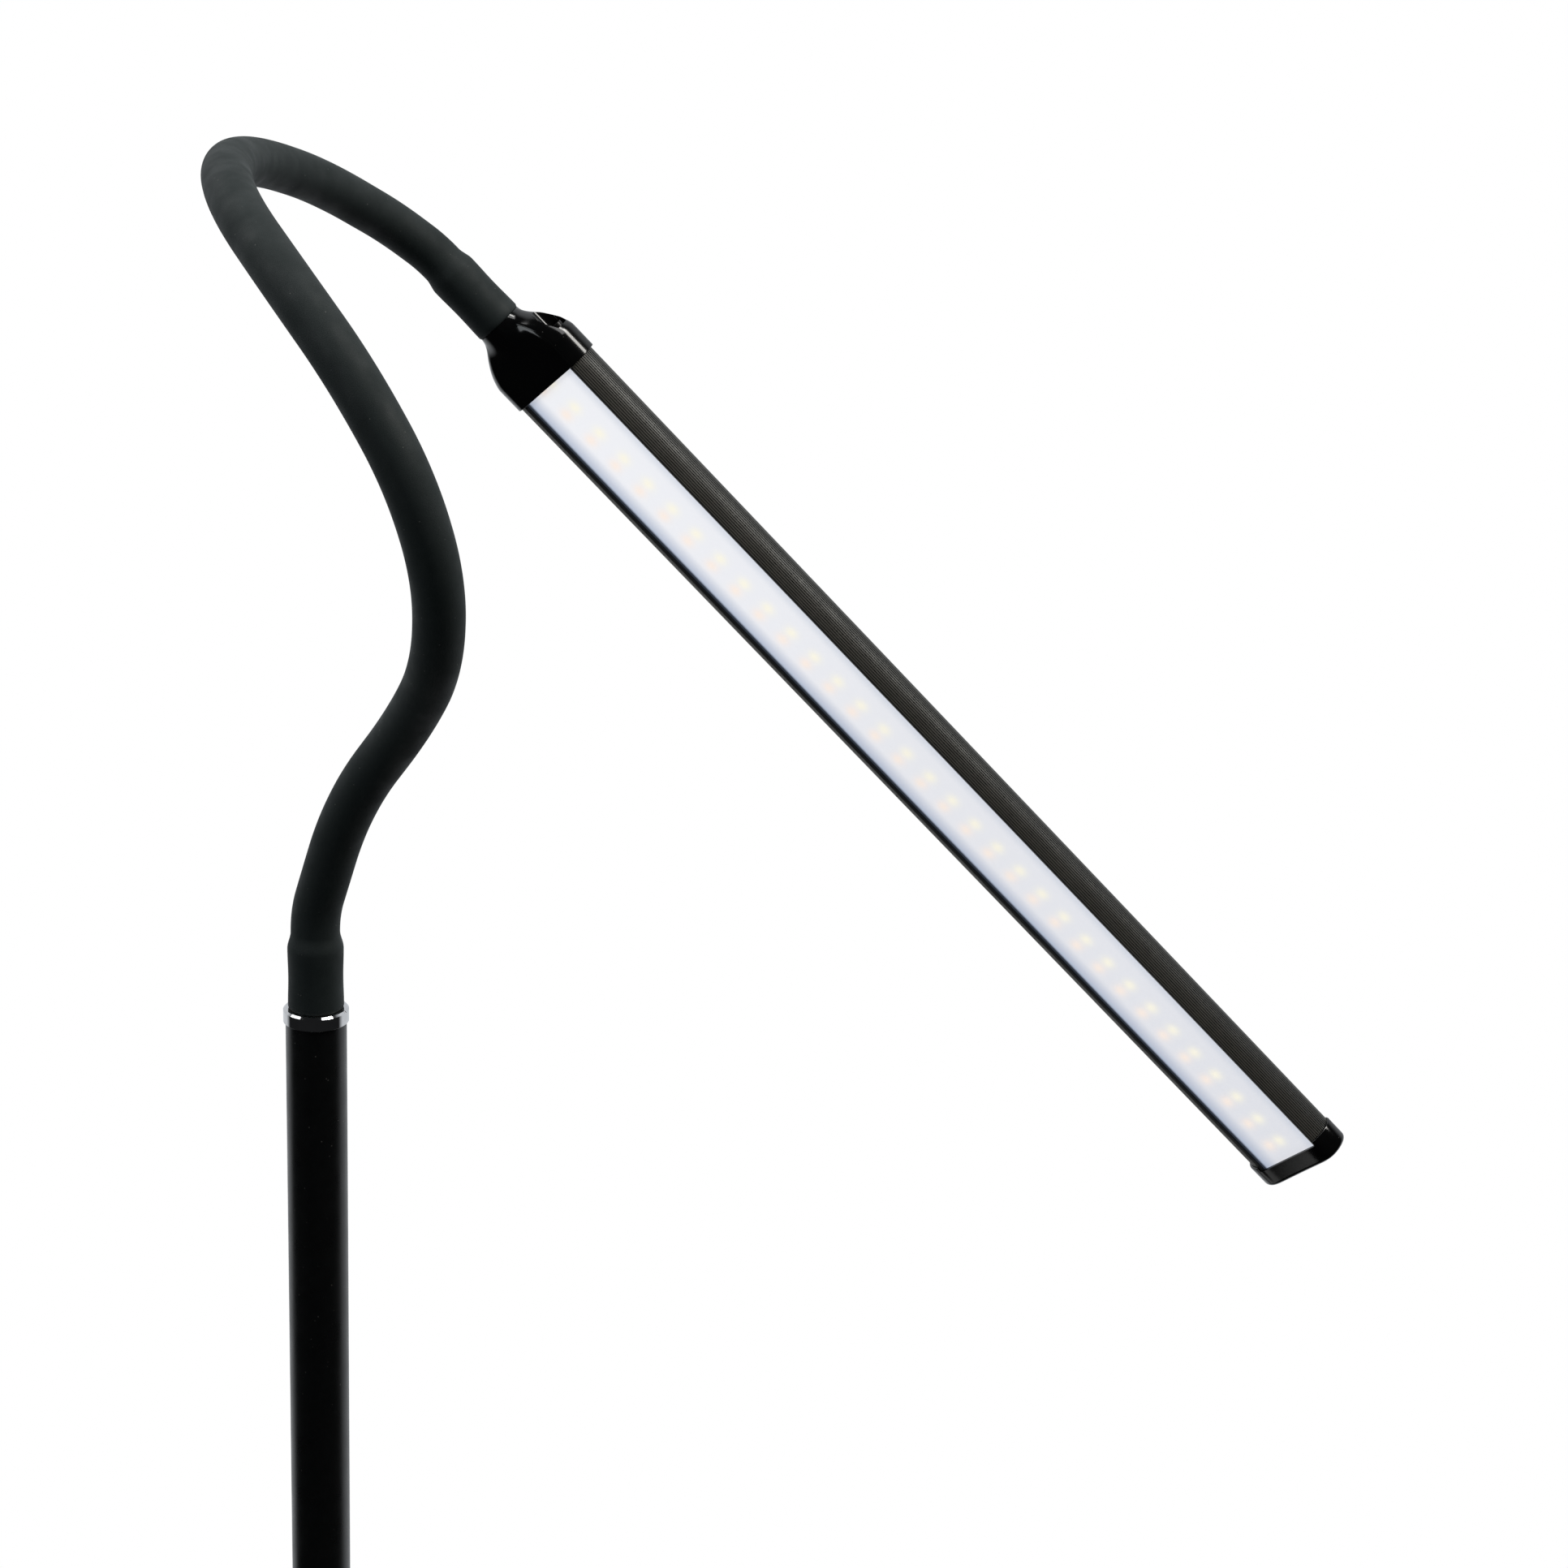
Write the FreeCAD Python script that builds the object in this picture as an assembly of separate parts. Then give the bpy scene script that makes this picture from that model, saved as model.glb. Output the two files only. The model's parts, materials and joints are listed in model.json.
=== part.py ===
"""Gooseneck reading floor lamp: round weighted base, three-piece pole, sleeved gooseneck, LED light bar.

Millimetres. +Z is up, the origin is on the floor under the pole. Seen along +Y, the light bar hangs
down to the right (+X) and its light face looks back at the viewer and a little down.
"""
import FreeCAD, Part
import math
import os

from FreeCAD import Vector

# ---------------------------------------------------------------- base
BASE_RADIUS = 120.0          # outer radius of the base cover
BASE_SIDE_HEIGHT = 17.0      # height of the cover's upright rim above the pad
BASE_CROWN = 2.5             # rise of the cover's top from rim to centre
COVER_WALL = 1.2
COVER_EDGE_RADIUS = 4.0
PAD_THICKNESS = 2.0
PAD_INSET = 6.0              # pad edge inside the cover's edge
WEIGHT_THICKNESS = 13.0
WEIGHT_GAP = 0.5             # all round the weight, inside the cover
BASE_SCREW_RADIUS = 2.0
BASE_SCREW_INSET = 22.0      # circle of base screws inside the cover's edge
BASE_SCREW_COUNT = 4
SCREW_HEAD_RADIUS = 3.6
SCREW_HEAD_HEIGHT = 2.2
BOSS_WALL = 2.0

# electrics in the base
POCKET_WIDTH = 44.0
POCKET_MARGIN = 15.0         # pocket's inner wall to the board
BOARD_LENGTH = 50.0
BOARD_WIDTH = 36.0
BOARD_THICKNESS = 1.6
BOARD_LIFT = 2.0             # board above the base pad
GLAND_BORE = 3.0             # passes a power cord
GLAND_NECK = 4.5
GLAND_FLANGE = 6.5
GLAND_INSIDE = 7.0           # length inside the cover's wall
GLAND_OUTSIDE = 2.0
GLAND_HEIGHT = 9.5           # bore's height above the floor
BUTTON_RADIUS = 8.0
BUTTON_CLEARANCE = 0.35
BUTTON_PROUD = 2.0
BUTTON_TRAVEL = 1.5
BUTTON_INSET = 46.0          # button's centre inside the cover's edge
BUTTON_FLANGE = 10.0         # keeps the button inside the cover
BUTTON_GUIDE = 2.2           # thickness of the guide ring under the cover's top
BUTTON_STOP = 17.0           # level of the guide ring's foot, where the flange rests
SWITCH_SIZE = 6.0
SWITCH_HEIGHT = 3.5

# ---------------------------------------------------------------- pole
POLE_RADIUS = 11.0
POLE_WALL = 1.2
POLE_SECTION_LENGTH = 341.0
POLE_SECTIONS = 3
SLIP_FIT = 0.05              # radial clearance of plugs, studs and sockets
COUPLER_LENGTH = 60.0
COUPLER_BORE = 4.5
SOCKET_FLANGE_RADIUS = 25.0
SOCKET_FLANGE_HEIGHT = 3.0
SOCKET_COLLAR_RADIUS = 14.5
SOCKET_COLLAR_HEIGHT = 24.0
STUD_RADIUS = 6.0
STUD_BORE = 3.5
NUT_ACROSS_FLATS = 18.0
NUT_HEIGHT = 5.0
NUT_RECESS_RADIUS = 12.5
CABLE_RADIUS = 2.2
RING_RADIUS = 11.8           # chrome ring between pole and gooseneck
RING_HEIGHT = 5.3
RING_CHAMFER = 0.7

# ---------------------------------------------------------------- gooseneck
SLEEVE_RADIUS = 8.8
SLEEVE_WALL = 1.9
BOOT_RADIUS = 10.1           # sleeve end stretched over a ferrule
BOOT_TAPER = 5.0
POLE_BOOT_LENGTH = 24.1
HEAD_BOOT_RADIUS = 9.95
HEAD_BOOT_LENGTH = 26.8
CORE_RADIUS = 5.6            # one stiff length of the core
BALL_RADIUS = 4.4
CUP_GAP = 0.35               # ball to cup
CUP_LIP = 1.3                # cup wraps past the ball's centre by this
NECK_RADIUS = 2.7
NECK_LENGTH = 7.5            # ball centre to the start of the stiff length
NECK_SHARE = 0.8             # most of a half bend that the neck may take
FERRULE_GRIP = 30.0          # plug length inside the pole
FERRULE_STEM_RADIUS = 8.0

# The bends of the gooseneck: corner points of its route, measured from the top of the pole.
BENDS = [
    (0, 0, 41.7), (13.3, -8.7, 86), (37, -24.7, 121.2), (49, -43.6, 146.5), (51.2, -55.6, 178.8),
    (41.8, -59.8, 213), (22, -53, 245.5), (-3.6, -31, 272.6), (-26, 5.6, 290), (-38.4, 51, 298.7),
    (-35.6, 97.3, 296), (-18.8, 136.4, 285), (4.6, 163, 267.2), (19.1, 171, 255.4),
]
HEAD_LEAD = 38.0             # last bend to the end of the sleeve

# ---------------------------------------------------------------- light bar
HEAD_DROP = 44.8             # degrees below the horizontal
HEAD_HEADING = 1.0           # degrees away from the viewer
HEAD_ROLL = 26.3             # degrees that the light face turns down about the bar's length
AXIS_TO_LIGHT = 5.3          # gooseneck axis to the diffuser's face
OPENING_HALF = 14.2
LIP_HEIGHT = 1.2             # lip stands above the diffuser
LIP_WIDTH = 1.1
SIDE_MID = (19.2, -2.2)      # curved side: half width and height above the diffuser's face
SIDE_LOW = (21.0, -8.0)
BACK_DEPTH = 11.5            # diffuser's face to the housing's back
BACK_CORNER_RADIUS = 2.6
RIB_COUNT = 12
RIB_DEPTH = 0.45
RIB_LAND = 0.62              # share of the pitch left between two grooves
CAVITY_HALF = 15.5
CAVITY_TOP = -3.2
FLOOR_THICKNESS = 1.7
LEDGE_HALF = 12.6
DIFFUSER_THICKNESS = 1.6
DIFFUSER_FIT = 0.1
PORT_X = 17.9                # screw ports along the housing
PORT_Y = -6.8
PORT_RADIUS = 1.15
LIGHT_START = 30.9           # sleeve end to the first visible strip of diffuser
LIGHT_LENGTH = 455.8
HOUSING_ENGAGE = 12.0        # housing's length inside the adapter
LED_PITCH = 14.0
LED_FIRST = 30.0
LED_ROW_OFFSET = 2.7
LED_ROW_SHIFT = -0.8
LED_SIZE = (2.8, 3.5, 0.8)
LED_BOARD_HALF = 6.0
LED_BOARD_THICKNESS = 1.6

# adapter between gooseneck and light bar, and the cap at the far end
SHOE_WALL = 1.3
SHOE_LENGTH = 13.0
NECK_START_RADIUS = 9.6
SCOOP_RADIUS = 4.3
SCOOP_END_WALL = 2.2
CAP_LENGTH = 9.8
CAP_SKIRT = 2.2
CAP_ROUND = 2.6
FIT = 0.15                   # moulded parts over the housing
PORT_SCREW_HEAD = 2.7
PORT_SCREW_LENGTH = 11.0

# ---------------------------------------------------------------- levels worked out from the sizes
PAD_TOP = PAD_THICKNESS
RIM_TOP = PAD_TOP + BASE_SIDE_HEIGHT
COVER_TOP = RIM_TOP + BASE_CROWN
WEIGHT_BOTTOM = PAD_TOP
WEIGHT_TOP = WEIGHT_BOTTOM + WEIGHT_THICKNESS
STUD_BOTTOM = PAD_TOP + CABLE_RADIUS * 2 + 0.3     # the cable passes under the stud and its nut
NUT_TOP = STUD_BOTTOM + NUT_HEIGHT
POLE_FOOT = COVER_TOP + SOCKET_FLANGE_HEIGHT
POLE_TOP = POLE_FOOT + POLE_SECTION_LENGTH * POLE_SECTIONS
RING_TOP = POLE_TOP + RING_HEIGHT
POLE_BORE = POLE_RADIUS - POLE_WALL
LIGHT_END = LIGHT_START + LIGHT_LENGTH
LED_COUNT = int((LIGHT_END - LED_FIRST) / LED_PITCH) + 1
BASE_SCREW_CIRCLE = BASE_RADIUS - BASE_SCREW_INSET
BUTTON_Y = BASE_RADIUS - BUTTON_INSET
POCKET_INNER_Y = BUTTON_Y - BOARD_LENGTH / 2 - POCKET_MARGIN
HOUSING_START = LIGHT_START - HOUSING_ENGAGE
HOUSING_END = LIGHT_END + 1.5
Z_AXIS = Vector(0, 0, 1)


# ---------------------------------------------------------------- helpers
def cylinder(radius, bottom, top, x=0.0, y=0.0):
    return Part.makeCylinder(radius, top - bottom, Vector(x, y, bottom))


def tube(outer, inner, bottom, top, x=0.0, y=0.0):
    return cylinder(outer, bottom, top, x, y).cut(cylinder(inner, bottom, top, x, y))


def box(size, centre_x, centre_y, bottom):
    """A block of size (x, y, z) centred on a point in plan and standing on a level."""
    corner = Vector(centre_x - size[0] / 2, centre_y - size[1] / 2, bottom)
    return Part.makeBox(size[0], size[1], size[2], corner)


def lying_cylinder(radius, near_y, far_y, height):
    """A cylinder along Y at a height above the floor."""
    return Part.makeCylinder(radius, far_y - near_y, Vector(0, near_y, height), Vector(0, 1, 0))


def turned(points):
    """A solid of revolution about Z from (radius, height) corners."""
    corners = [Vector(radius, 0, height) for radius, height in points]
    outline = Part.makePolygon(corners + corners[:1])
    return Part.Face(outline).revolve(Vector(0, 0, 0), Z_AXIS, 360)


def line(start, end):
    return Part.LineSegment(start, end).toShape()


def arc(start, middle, end):
    return Part.Arc(start, middle, end).toShape()


def group(shapes):
    return Part.makeCompound(shapes)


PARTS = {}


def keep(name, shape):
    PARTS[name] = shape


# ---------------------------------------------------------------- base
def cover_profile(shrink):
    """Half outline of the base cover's outside, or of its inside when shrunk by the wall."""
    radius = BASE_RADIUS - shrink
    edge = COVER_EDGE_RADIUS - shrink
    rim = RIM_TOP - shrink
    crown = COVER_TOP - shrink
    bend = Vector(radius - edge * (1 - math.sqrt(0.5)), 0, rim - edge * (1 - math.sqrt(0.5)))
    flat = SOCKET_FLANGE_RADIUS + 5.0
    edges = [
        line(Vector(0, 0, PAD_TOP), Vector(radius, 0, PAD_TOP)),
        line(Vector(radius, 0, PAD_TOP), Vector(radius, 0, rim - edge)),
        arc(Vector(radius, 0, rim - edge), bend, Vector(radius - edge, 0, rim)),
        line(Vector(radius - edge, 0, rim), Vector(flat, 0, crown)),
        line(Vector(flat, 0, crown), Vector(0, 0, crown)),
        line(Vector(0, 0, crown), Vector(0, 0, PAD_TOP)),
    ]
    face = Part.Face(Part.Wire(edges))
    return face.revolve(Vector(0, 0, 0), Z_AXIS, 360)


def screw_places():
    first = math.pi / BASE_SCREW_COUNT
    for index in range(BASE_SCREW_COUNT):
        angle = first + index * 2 * math.pi / BASE_SCREW_COUNT
        yield BASE_SCREW_CIRCLE * math.cos(angle), BASE_SCREW_CIRCLE * math.sin(angle)


def make_base():
    wall_y = BASE_RADIUS - COVER_WALL - 0.3
    pad = cylinder(BASE_RADIUS - PAD_INSET, 0, PAD_TOP)
    for x, y in screw_places():
        pad = pad.cut(cylinder(SCREW_HEAD_RADIUS + 0.6, 0, PAD_TOP, x, y))
    keep("floor_pad", pad)

    cover = cover_profile(0.0).cut(cover_profile(COVER_WALL).common(
        cylinder(BASE_RADIUS * 2, -1, COVER_TOP)))
    cover = cover.cut(cylinder(STUD_RADIUS + 0.5, PAD_TOP, COVER_TOP + 1))
    button_hole = cylinder(BUTTON_RADIUS + BUTTON_CLEARANCE, WEIGHT_TOP, COVER_TOP + 1, 0, BUTTON_Y)
    cover = cover.cut(button_hole)
    cover = cover.cut(lying_cylinder(GLAND_NECK + SLIP_FIT, wall_y - 5, BASE_RADIUS + 5, GLAND_HEIGHT))
    inside = cover_profile(COVER_WALL)
    guide = tube(BUTTON_RADIUS + BUTTON_CLEARANCE + BUTTON_GUIDE, BUTTON_RADIUS + BUTTON_CLEARANCE,
                 BUTTON_STOP, COVER_TOP, 0, BUTTON_Y)
    cover = cover.fuse(guide.common(inside))
    for x, y in screw_places():
        boss = cylinder(BASE_SCREW_RADIUS + BOSS_WALL, WEIGHT_TOP, COVER_TOP, x, y).common(inside)
        hole = cylinder(BASE_SCREW_RADIUS, WEIGHT_TOP, WEIGHT_TOP + 3.0, x, y)
        cover = cover.fuse(boss).cut(hole)
    keep("base_cover", cover)

    weight = cylinder(BASE_RADIUS - COVER_WALL - WEIGHT_GAP, WEIGHT_BOTTOM, WEIGHT_TOP)
    pocket_length = BASE_RADIUS - POCKET_INNER_Y
    weight = weight.cut(box(
        (POCKET_WIDTH, pocket_length, WEIGHT_THICKNESS * 2),
        0, POCKET_INNER_Y + pocket_length / 2, WEIGHT_BOTTOM - 1))
    weight = weight.cut(cylinder(STUD_RADIUS + 0.5, WEIGHT_BOTTOM, WEIGHT_TOP))
    weight = weight.cut(cylinder(NUT_RECESS_RADIUS, WEIGHT_BOTTOM, NUT_TOP))
    cable_way = CABLE_RADIUS * 2 + 2
    weight = weight.cut(box(
        (cable_way, POCKET_INNER_Y, CABLE_RADIUS * 2 + 1), 0, POCKET_INNER_Y / 2, WEIGHT_BOTTOM))
    for x, y in screw_places():
        weight = weight.cut(cylinder(BASE_SCREW_RADIUS + 0.4, WEIGHT_BOTTOM, WEIGHT_TOP, x, y))
        weight = weight.cut(cylinder(
            SCREW_HEAD_RADIUS + 0.4, WEIGHT_BOTTOM, WEIGHT_BOTTOM + SCREW_HEAD_HEIGHT, x, y))
    keep("base_weight", weight)

    screws = []
    for x, y in screw_places():
        shank_bottom = WEIGHT_BOTTOM + SCREW_HEAD_HEIGHT
        head = cylinder(SCREW_HEAD_RADIUS, WEIGHT_BOTTOM, shank_bottom, x, y)
        shank = cylinder(BASE_SCREW_RADIUS - 0.02, shank_bottom, WEIGHT_TOP + 2.5, x, y)
        screws.append(head.fuse(shank))
    keep("base_screws", group(screws))

    board_y = BUTTON_Y
    board = box((BOARD_WIDTH, BOARD_LENGTH, BOARD_THICKNESS), 0, board_y, PAD_TOP + BOARD_LIFT)
    for side in (-1, 1):
        for end in (-1, 1):
            post_x = side * (BOARD_WIDTH / 2 - 3)
            post_y = board_y + end * (BOARD_LENGTH / 2 - 3)
            board = board.fuse(cylinder(2.0, PAD_TOP, PAD_TOP + BOARD_LIFT, post_x, post_y))
    keep("driver_board", board)

    board_top = PAD_TOP + BOARD_LIFT + BOARD_THICKNESS
    chips = [
        box((10, 8, 5), -10, board_y - 12, board_top),
        box((6, 6, 2), 11, board_y + 4, board_top),
        cylinder(4.0, board_top, board_top + 7, -11, board_y + 14),
        cylinder(3.2, board_top, board_top + 6, 11, board_y - 14),
    ]
    keep("driver_components", group(chips))

    gland = lying_cylinder(GLAND_FLANGE, wall_y - GLAND_INSIDE, wall_y, GLAND_HEIGHT)
    gland = gland.fuse(lying_cylinder(GLAND_NECK, wall_y, BASE_RADIUS, GLAND_HEIGHT))
    gland_end = BASE_RADIUS + GLAND_OUTSIDE
    gland = gland.fuse(lying_cylinder(GLAND_FLANGE, BASE_RADIUS, gland_end, GLAND_HEIGHT))
    gland = gland.cut(lying_cylinder(GLAND_BORE, wall_y - GLAND_INSIDE, gland_end, GLAND_HEIGHT))
    keep("cord_gland", gland)

    switch_top = board_top + SWITCH_HEIGHT
    keep("button_switch", box((SWITCH_SIZE, SWITCH_SIZE, SWITCH_HEIGHT), 0, BUTTON_Y, board_top))

    button_top = COVER_TOP + BUTTON_PROUD
    button = cylinder(BUTTON_RADIUS, BUTTON_STOP, button_top, 0, BUTTON_Y)
    rim_edges = [edge for edge in button.Edges if edge.BoundBox.ZMin > button_top - 0.01]
    button = button.makeFillet(0.8, rim_edges)
    flange_bottom = BUTTON_STOP - 1.5
    button = button.fuse(cylinder(BUTTON_FLANGE, flange_bottom, BUTTON_STOP, 0, BUTTON_Y))
    button = button.fuse(cylinder(2.5, switch_top + BUTTON_TRAVEL + 0.3, flange_bottom, 0, BUTTON_Y))
    keep("power_button", button)


# ---------------------------------------------------------------- pole
def make_pole():
    socket = turned([
        (STUD_BORE, STUD_BOTTOM), (STUD_RADIUS, STUD_BOTTOM), (STUD_RADIUS, COVER_TOP),
        (SOCKET_FLANGE_RADIUS, COVER_TOP),
        (SOCKET_FLANGE_RADIUS, COVER_TOP + 1.2),
        (SOCKET_FLANGE_RADIUS - 2.5, POLE_FOOT),
        (SOCKET_COLLAR_RADIUS + 1.5, POLE_FOOT + 0.8),
        (SOCKET_COLLAR_RADIUS, POLE_FOOT + 3.0),
        (SOCKET_COLLAR_RADIUS, POLE_FOOT + SOCKET_COLLAR_HEIGHT - 1.0),
        (SOCKET_COLLAR_RADIUS - 1.0, POLE_FOOT + SOCKET_COLLAR_HEIGHT),
        (POLE_RADIUS + SLIP_FIT, POLE_FOOT + SOCKET_COLLAR_HEIGHT),
        (POLE_RADIUS + SLIP_FIT, POLE_FOOT), (STUD_BORE, POLE_FOOT),
    ])
    keep("pole_socket", socket)

    corner = NUT_ACROSS_FLATS / math.sqrt(3)
    hexagon = [Vector(corner * math.cos(a), corner * math.sin(a), STUD_BOTTOM)
               for a in (math.pi / 3 * step for step in range(7))]
    nut = Part.Face(Part.makePolygon(hexagon)).extrude(Vector(0, 0, NUT_HEIGHT))
    nut = nut.cut(cylinder(STUD_RADIUS + 0.02, STUD_BOTTOM, NUT_TOP))
    keep("socket_nut", nut)

    names = ["lower_pole", "middle_pole", "upper_pole"]
    for index in range(POLE_SECTIONS):
        bottom = POLE_FOOT + index * POLE_SECTION_LENGTH
        keep(names[index], tube(POLE_RADIUS, POLE_BORE, bottom, bottom + POLE_SECTION_LENGTH))
    for index, name in enumerate(["lower_coupler", "upper_coupler"]):
        seam = POLE_FOOT + (index + 1) * POLE_SECTION_LENGTH
        keep(name, tube(POLE_BORE - SLIP_FIT, COUPLER_BORE,
                        seam - COUPLER_LENGTH / 2, seam + COUPLER_LENGTH / 2))

    cable_bottom = WEIGHT_BOTTOM + CABLE_RADIUS
    cable_top = POLE_TOP - 6.0
    upright = cylinder(CABLE_RADIUS, cable_bottom, cable_top)
    run = lying_cylinder(CABLE_RADIUS, 0, BUTTON_Y - BOARD_LENGTH / 2, cable_bottom)
    elbow = Part.makeSphere(CABLE_RADIUS, Vector(0, 0, cable_bottom))
    keep("pole_cable", upright.fuse(run).fuse(elbow))

    keep("chrome_ring", turned([
        (POLE_BORE, POLE_TOP), (RING_RADIUS, POLE_TOP),
        (RING_RADIUS, RING_TOP - RING_CHAMFER), (RING_RADIUS - RING_CHAMFER, RING_TOP),
        (POLE_BORE, RING_TOP),
    ]))


# ---------------------------------------------------------------- the gooseneck's route
def head_axes():
    """Unit vectors of the light bar: across, towards the light side, and along its length."""
    drop = math.radians(HEAD_DROP)
    heading = math.radians(HEAD_HEADING)
    roll = math.radians(HEAD_ROLL)
    along = Vector(math.cos(drop) * math.cos(heading), math.cos(drop) * math.sin(heading), -math.sin(drop))
    level = along.cross(Z_AXIS).normalize()
    lower = along.cross(level).normalize()
    light = level * math.cos(roll) + lower * math.sin(roll)
    return light.cross(along), light, along


class Bend:
    """One round bend of the route: its corner, the tangent points, and the arc between them."""

    def __init__(self, before, corner, after, setback):
        self.inward = (corner - before).normalize()
        self.outward = (after - corner).normalize()
        self.turn = math.acos(max(-1.0, min(1.0, self.inward.dot(self.outward))))
        self.axis = self.inward.cross(self.outward).normalize()
        self.radius = setback / math.tan(self.turn / 2)
        self.start = corner - self.inward * setback
        self.end = corner + self.outward * setback
        self.centre = self.start + self.axis.cross(self.inward) * self.radius
        self.middle = self.centre + (corner - self.centre).normalize() * self.radius
        self.tangent = (self.inward + self.outward).normalize()


def route():
    """The bends in order, and the route's two ends."""
    across, light, along = head_axes()
    pole_top = Vector(0, 0, POLE_TOP)
    corners = [pole_top + Vector(*point) for point in BENDS]
    sleeve_end = corners[-1] + along * HEAD_LEAD
    start = Vector(0, 0, RING_TOP + POLE_BOOT_LENGTH + BOOT_TAPER)
    finish = sleeve_end - along * (HEAD_BOOT_LENGTH + BOOT_TAPER)
    stations = [start] + corners + [finish]
    reach = [(b - a).Length / 2 for a, b in zip(stations, stations[1:])]
    reach[0] *= 2
    reach[-1] *= 2
    bends = []
    for index, corner in enumerate(corners):
        setback = min(reach[index], reach[index + 1]) * 0.98
        bends.append(Bend(stations[index], corner, stations[index + 2], setback))
    joins = [start] + [(a + b) * 0.5 for a, b in zip(corners, corners[1:])] + [finish]
    return bends, joins, sleeve_end


def disc(centre, normal, outer, inner=0.0):
    face = Part.Face(Part.Wire(Part.makeCircle(outer, centre, normal)))
    if inner > 0:
        face = face.cut(Part.Face(Part.Wire(Part.makeCircle(inner, centre, normal))))
    return face


def straight_piece(start, end, outer, inner=0.0):
    return disc(start, (end - start).normalize(), outer, inner).extrude(end - start)


def bent_piece(start, tangent, bend, angle, outer, inner=0.0):
    face = disc(start, tangent, outer, inner)
    return face.revolve(bend.centre, bend.axis, math.degrees(angle))


def join_up(pieces):
    solid = pieces[0]
    for piece in pieces[1:]:
        solid = solid.fuse(piece)
    return solid.removeSplitter()


def make_sleeve(bends, joins):
    """One length of rubber sleeve round each bend, cut square half way along the runs between them."""
    inner = SLEEVE_RADIUS - SLEEVE_WALL
    for index, bend in enumerate(bends):
        pieces = [
            straight_piece(joins[index], bend.start, SLEEVE_RADIUS, inner),
            bent_piece(bend.start, bend.inward, bend, bend.turn, SLEEVE_RADIUS, inner),
            straight_piece(bend.end, joins[index + 1], SLEEVE_RADIUS, inner),
        ]
        keep("sleeve_%02d" % (index + 1), join_up(pieces))


def neck_angle(bend):
    """Angle round a bend from the ball's centre to the start of the next stiff length."""
    return min(NECK_LENGTH / bend.radius, bend.turn / 2 * NECK_SHARE)


def ball_and_neck(bend):
    """The ball at a bend's middle and the neck that leads onto the next stiff length, turned in one."""
    rise = math.sqrt(BALL_RADIUS ** 2 - NECK_RADIUS ** 2)
    top = NECK_LENGTH + 1.5
    edges = [
        arc(Vector(0, 0, -BALL_RADIUS), Vector(BALL_RADIUS, 0, 0), Vector(NECK_RADIUS, 0, rise)),
        line(Vector(NECK_RADIUS, 0, rise), Vector(NECK_RADIUS, 0, top)),
        line(Vector(NECK_RADIUS, 0, top), Vector(0, 0, top)),
        line(Vector(0, 0, top), Vector(0, 0, -BALL_RADIUS)),
    ]
    ball = Part.Face(Part.Wire(edges)).revolve(Vector(0, 0, 0), Z_AXIS, 360)
    ball.Placement = FreeCAD.Placement(bend.middle, FreeCAD.Rotation(Z_AXIS, bend.tangent))
    return ball


def cup_hollow(bend):
    """The round hollow that the next ball sits in."""
    return Part.makeSphere(BALL_RADIUS + CUP_GAP, bend.middle, bend.tangent)


def turned_point(point, bend, angle):
    """A point carried round a bend's arc by an angle."""
    turn = FreeCAD.Rotation(bend.axis, math.degrees(angle))
    return bend.centre + turn.multVec(point - bend.centre)


def cup_end(bend):
    """The lip of the cup that reaches past the ball's centre."""
    return straight_piece(bend.middle, bend.middle + bend.tangent * CUP_LIP, CORE_RADIUS)


def make_core(bends):
    """Stiff lengths that follow the route, a ball at one end and a cup for the next ball at the other."""
    for index, (here, there) in enumerate(zip(bends, bends[1:])):
        skip = neck_angle(here)
        body_start = turned_point(here.middle, here, skip)
        body_tangent = FreeCAD.Rotation(here.axis, math.degrees(skip)).multVec(here.tangent)
        pieces = [
            bent_piece(body_start, body_tangent, here, here.turn / 2 - skip, CORE_RADIUS),
            straight_piece(here.end, there.start, CORE_RADIUS),
            bent_piece(there.start, there.inward, there, there.turn / 2, CORE_RADIUS),
            cup_end(there),
            ball_and_neck(here),
        ]
        link = join_up(pieces).cut(cup_hollow(there))
        keep("core_link_%02d" % (index + 1), link)


def boot(start, direction, radius, length):
    """The sleeve's swollen end over a ferrule, tapering back to the sleeve's own size."""
    inner = SLEEVE_RADIUS - SLEEVE_WALL
    grip = FERRULE_STEM_RADIUS + 0.02
    shape = turned([
        (grip, 0), (radius - 0.5, 0), (radius, 1.0), (radius, length),
        (SLEEVE_RADIUS, length + BOOT_TAPER), (inner, length + BOOT_TAPER), (inner, length), (grip, length),
    ])
    shape.Placement = FreeCAD.Placement(start, FreeCAD.Rotation(Z_AXIS, direction))
    return shape


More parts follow.
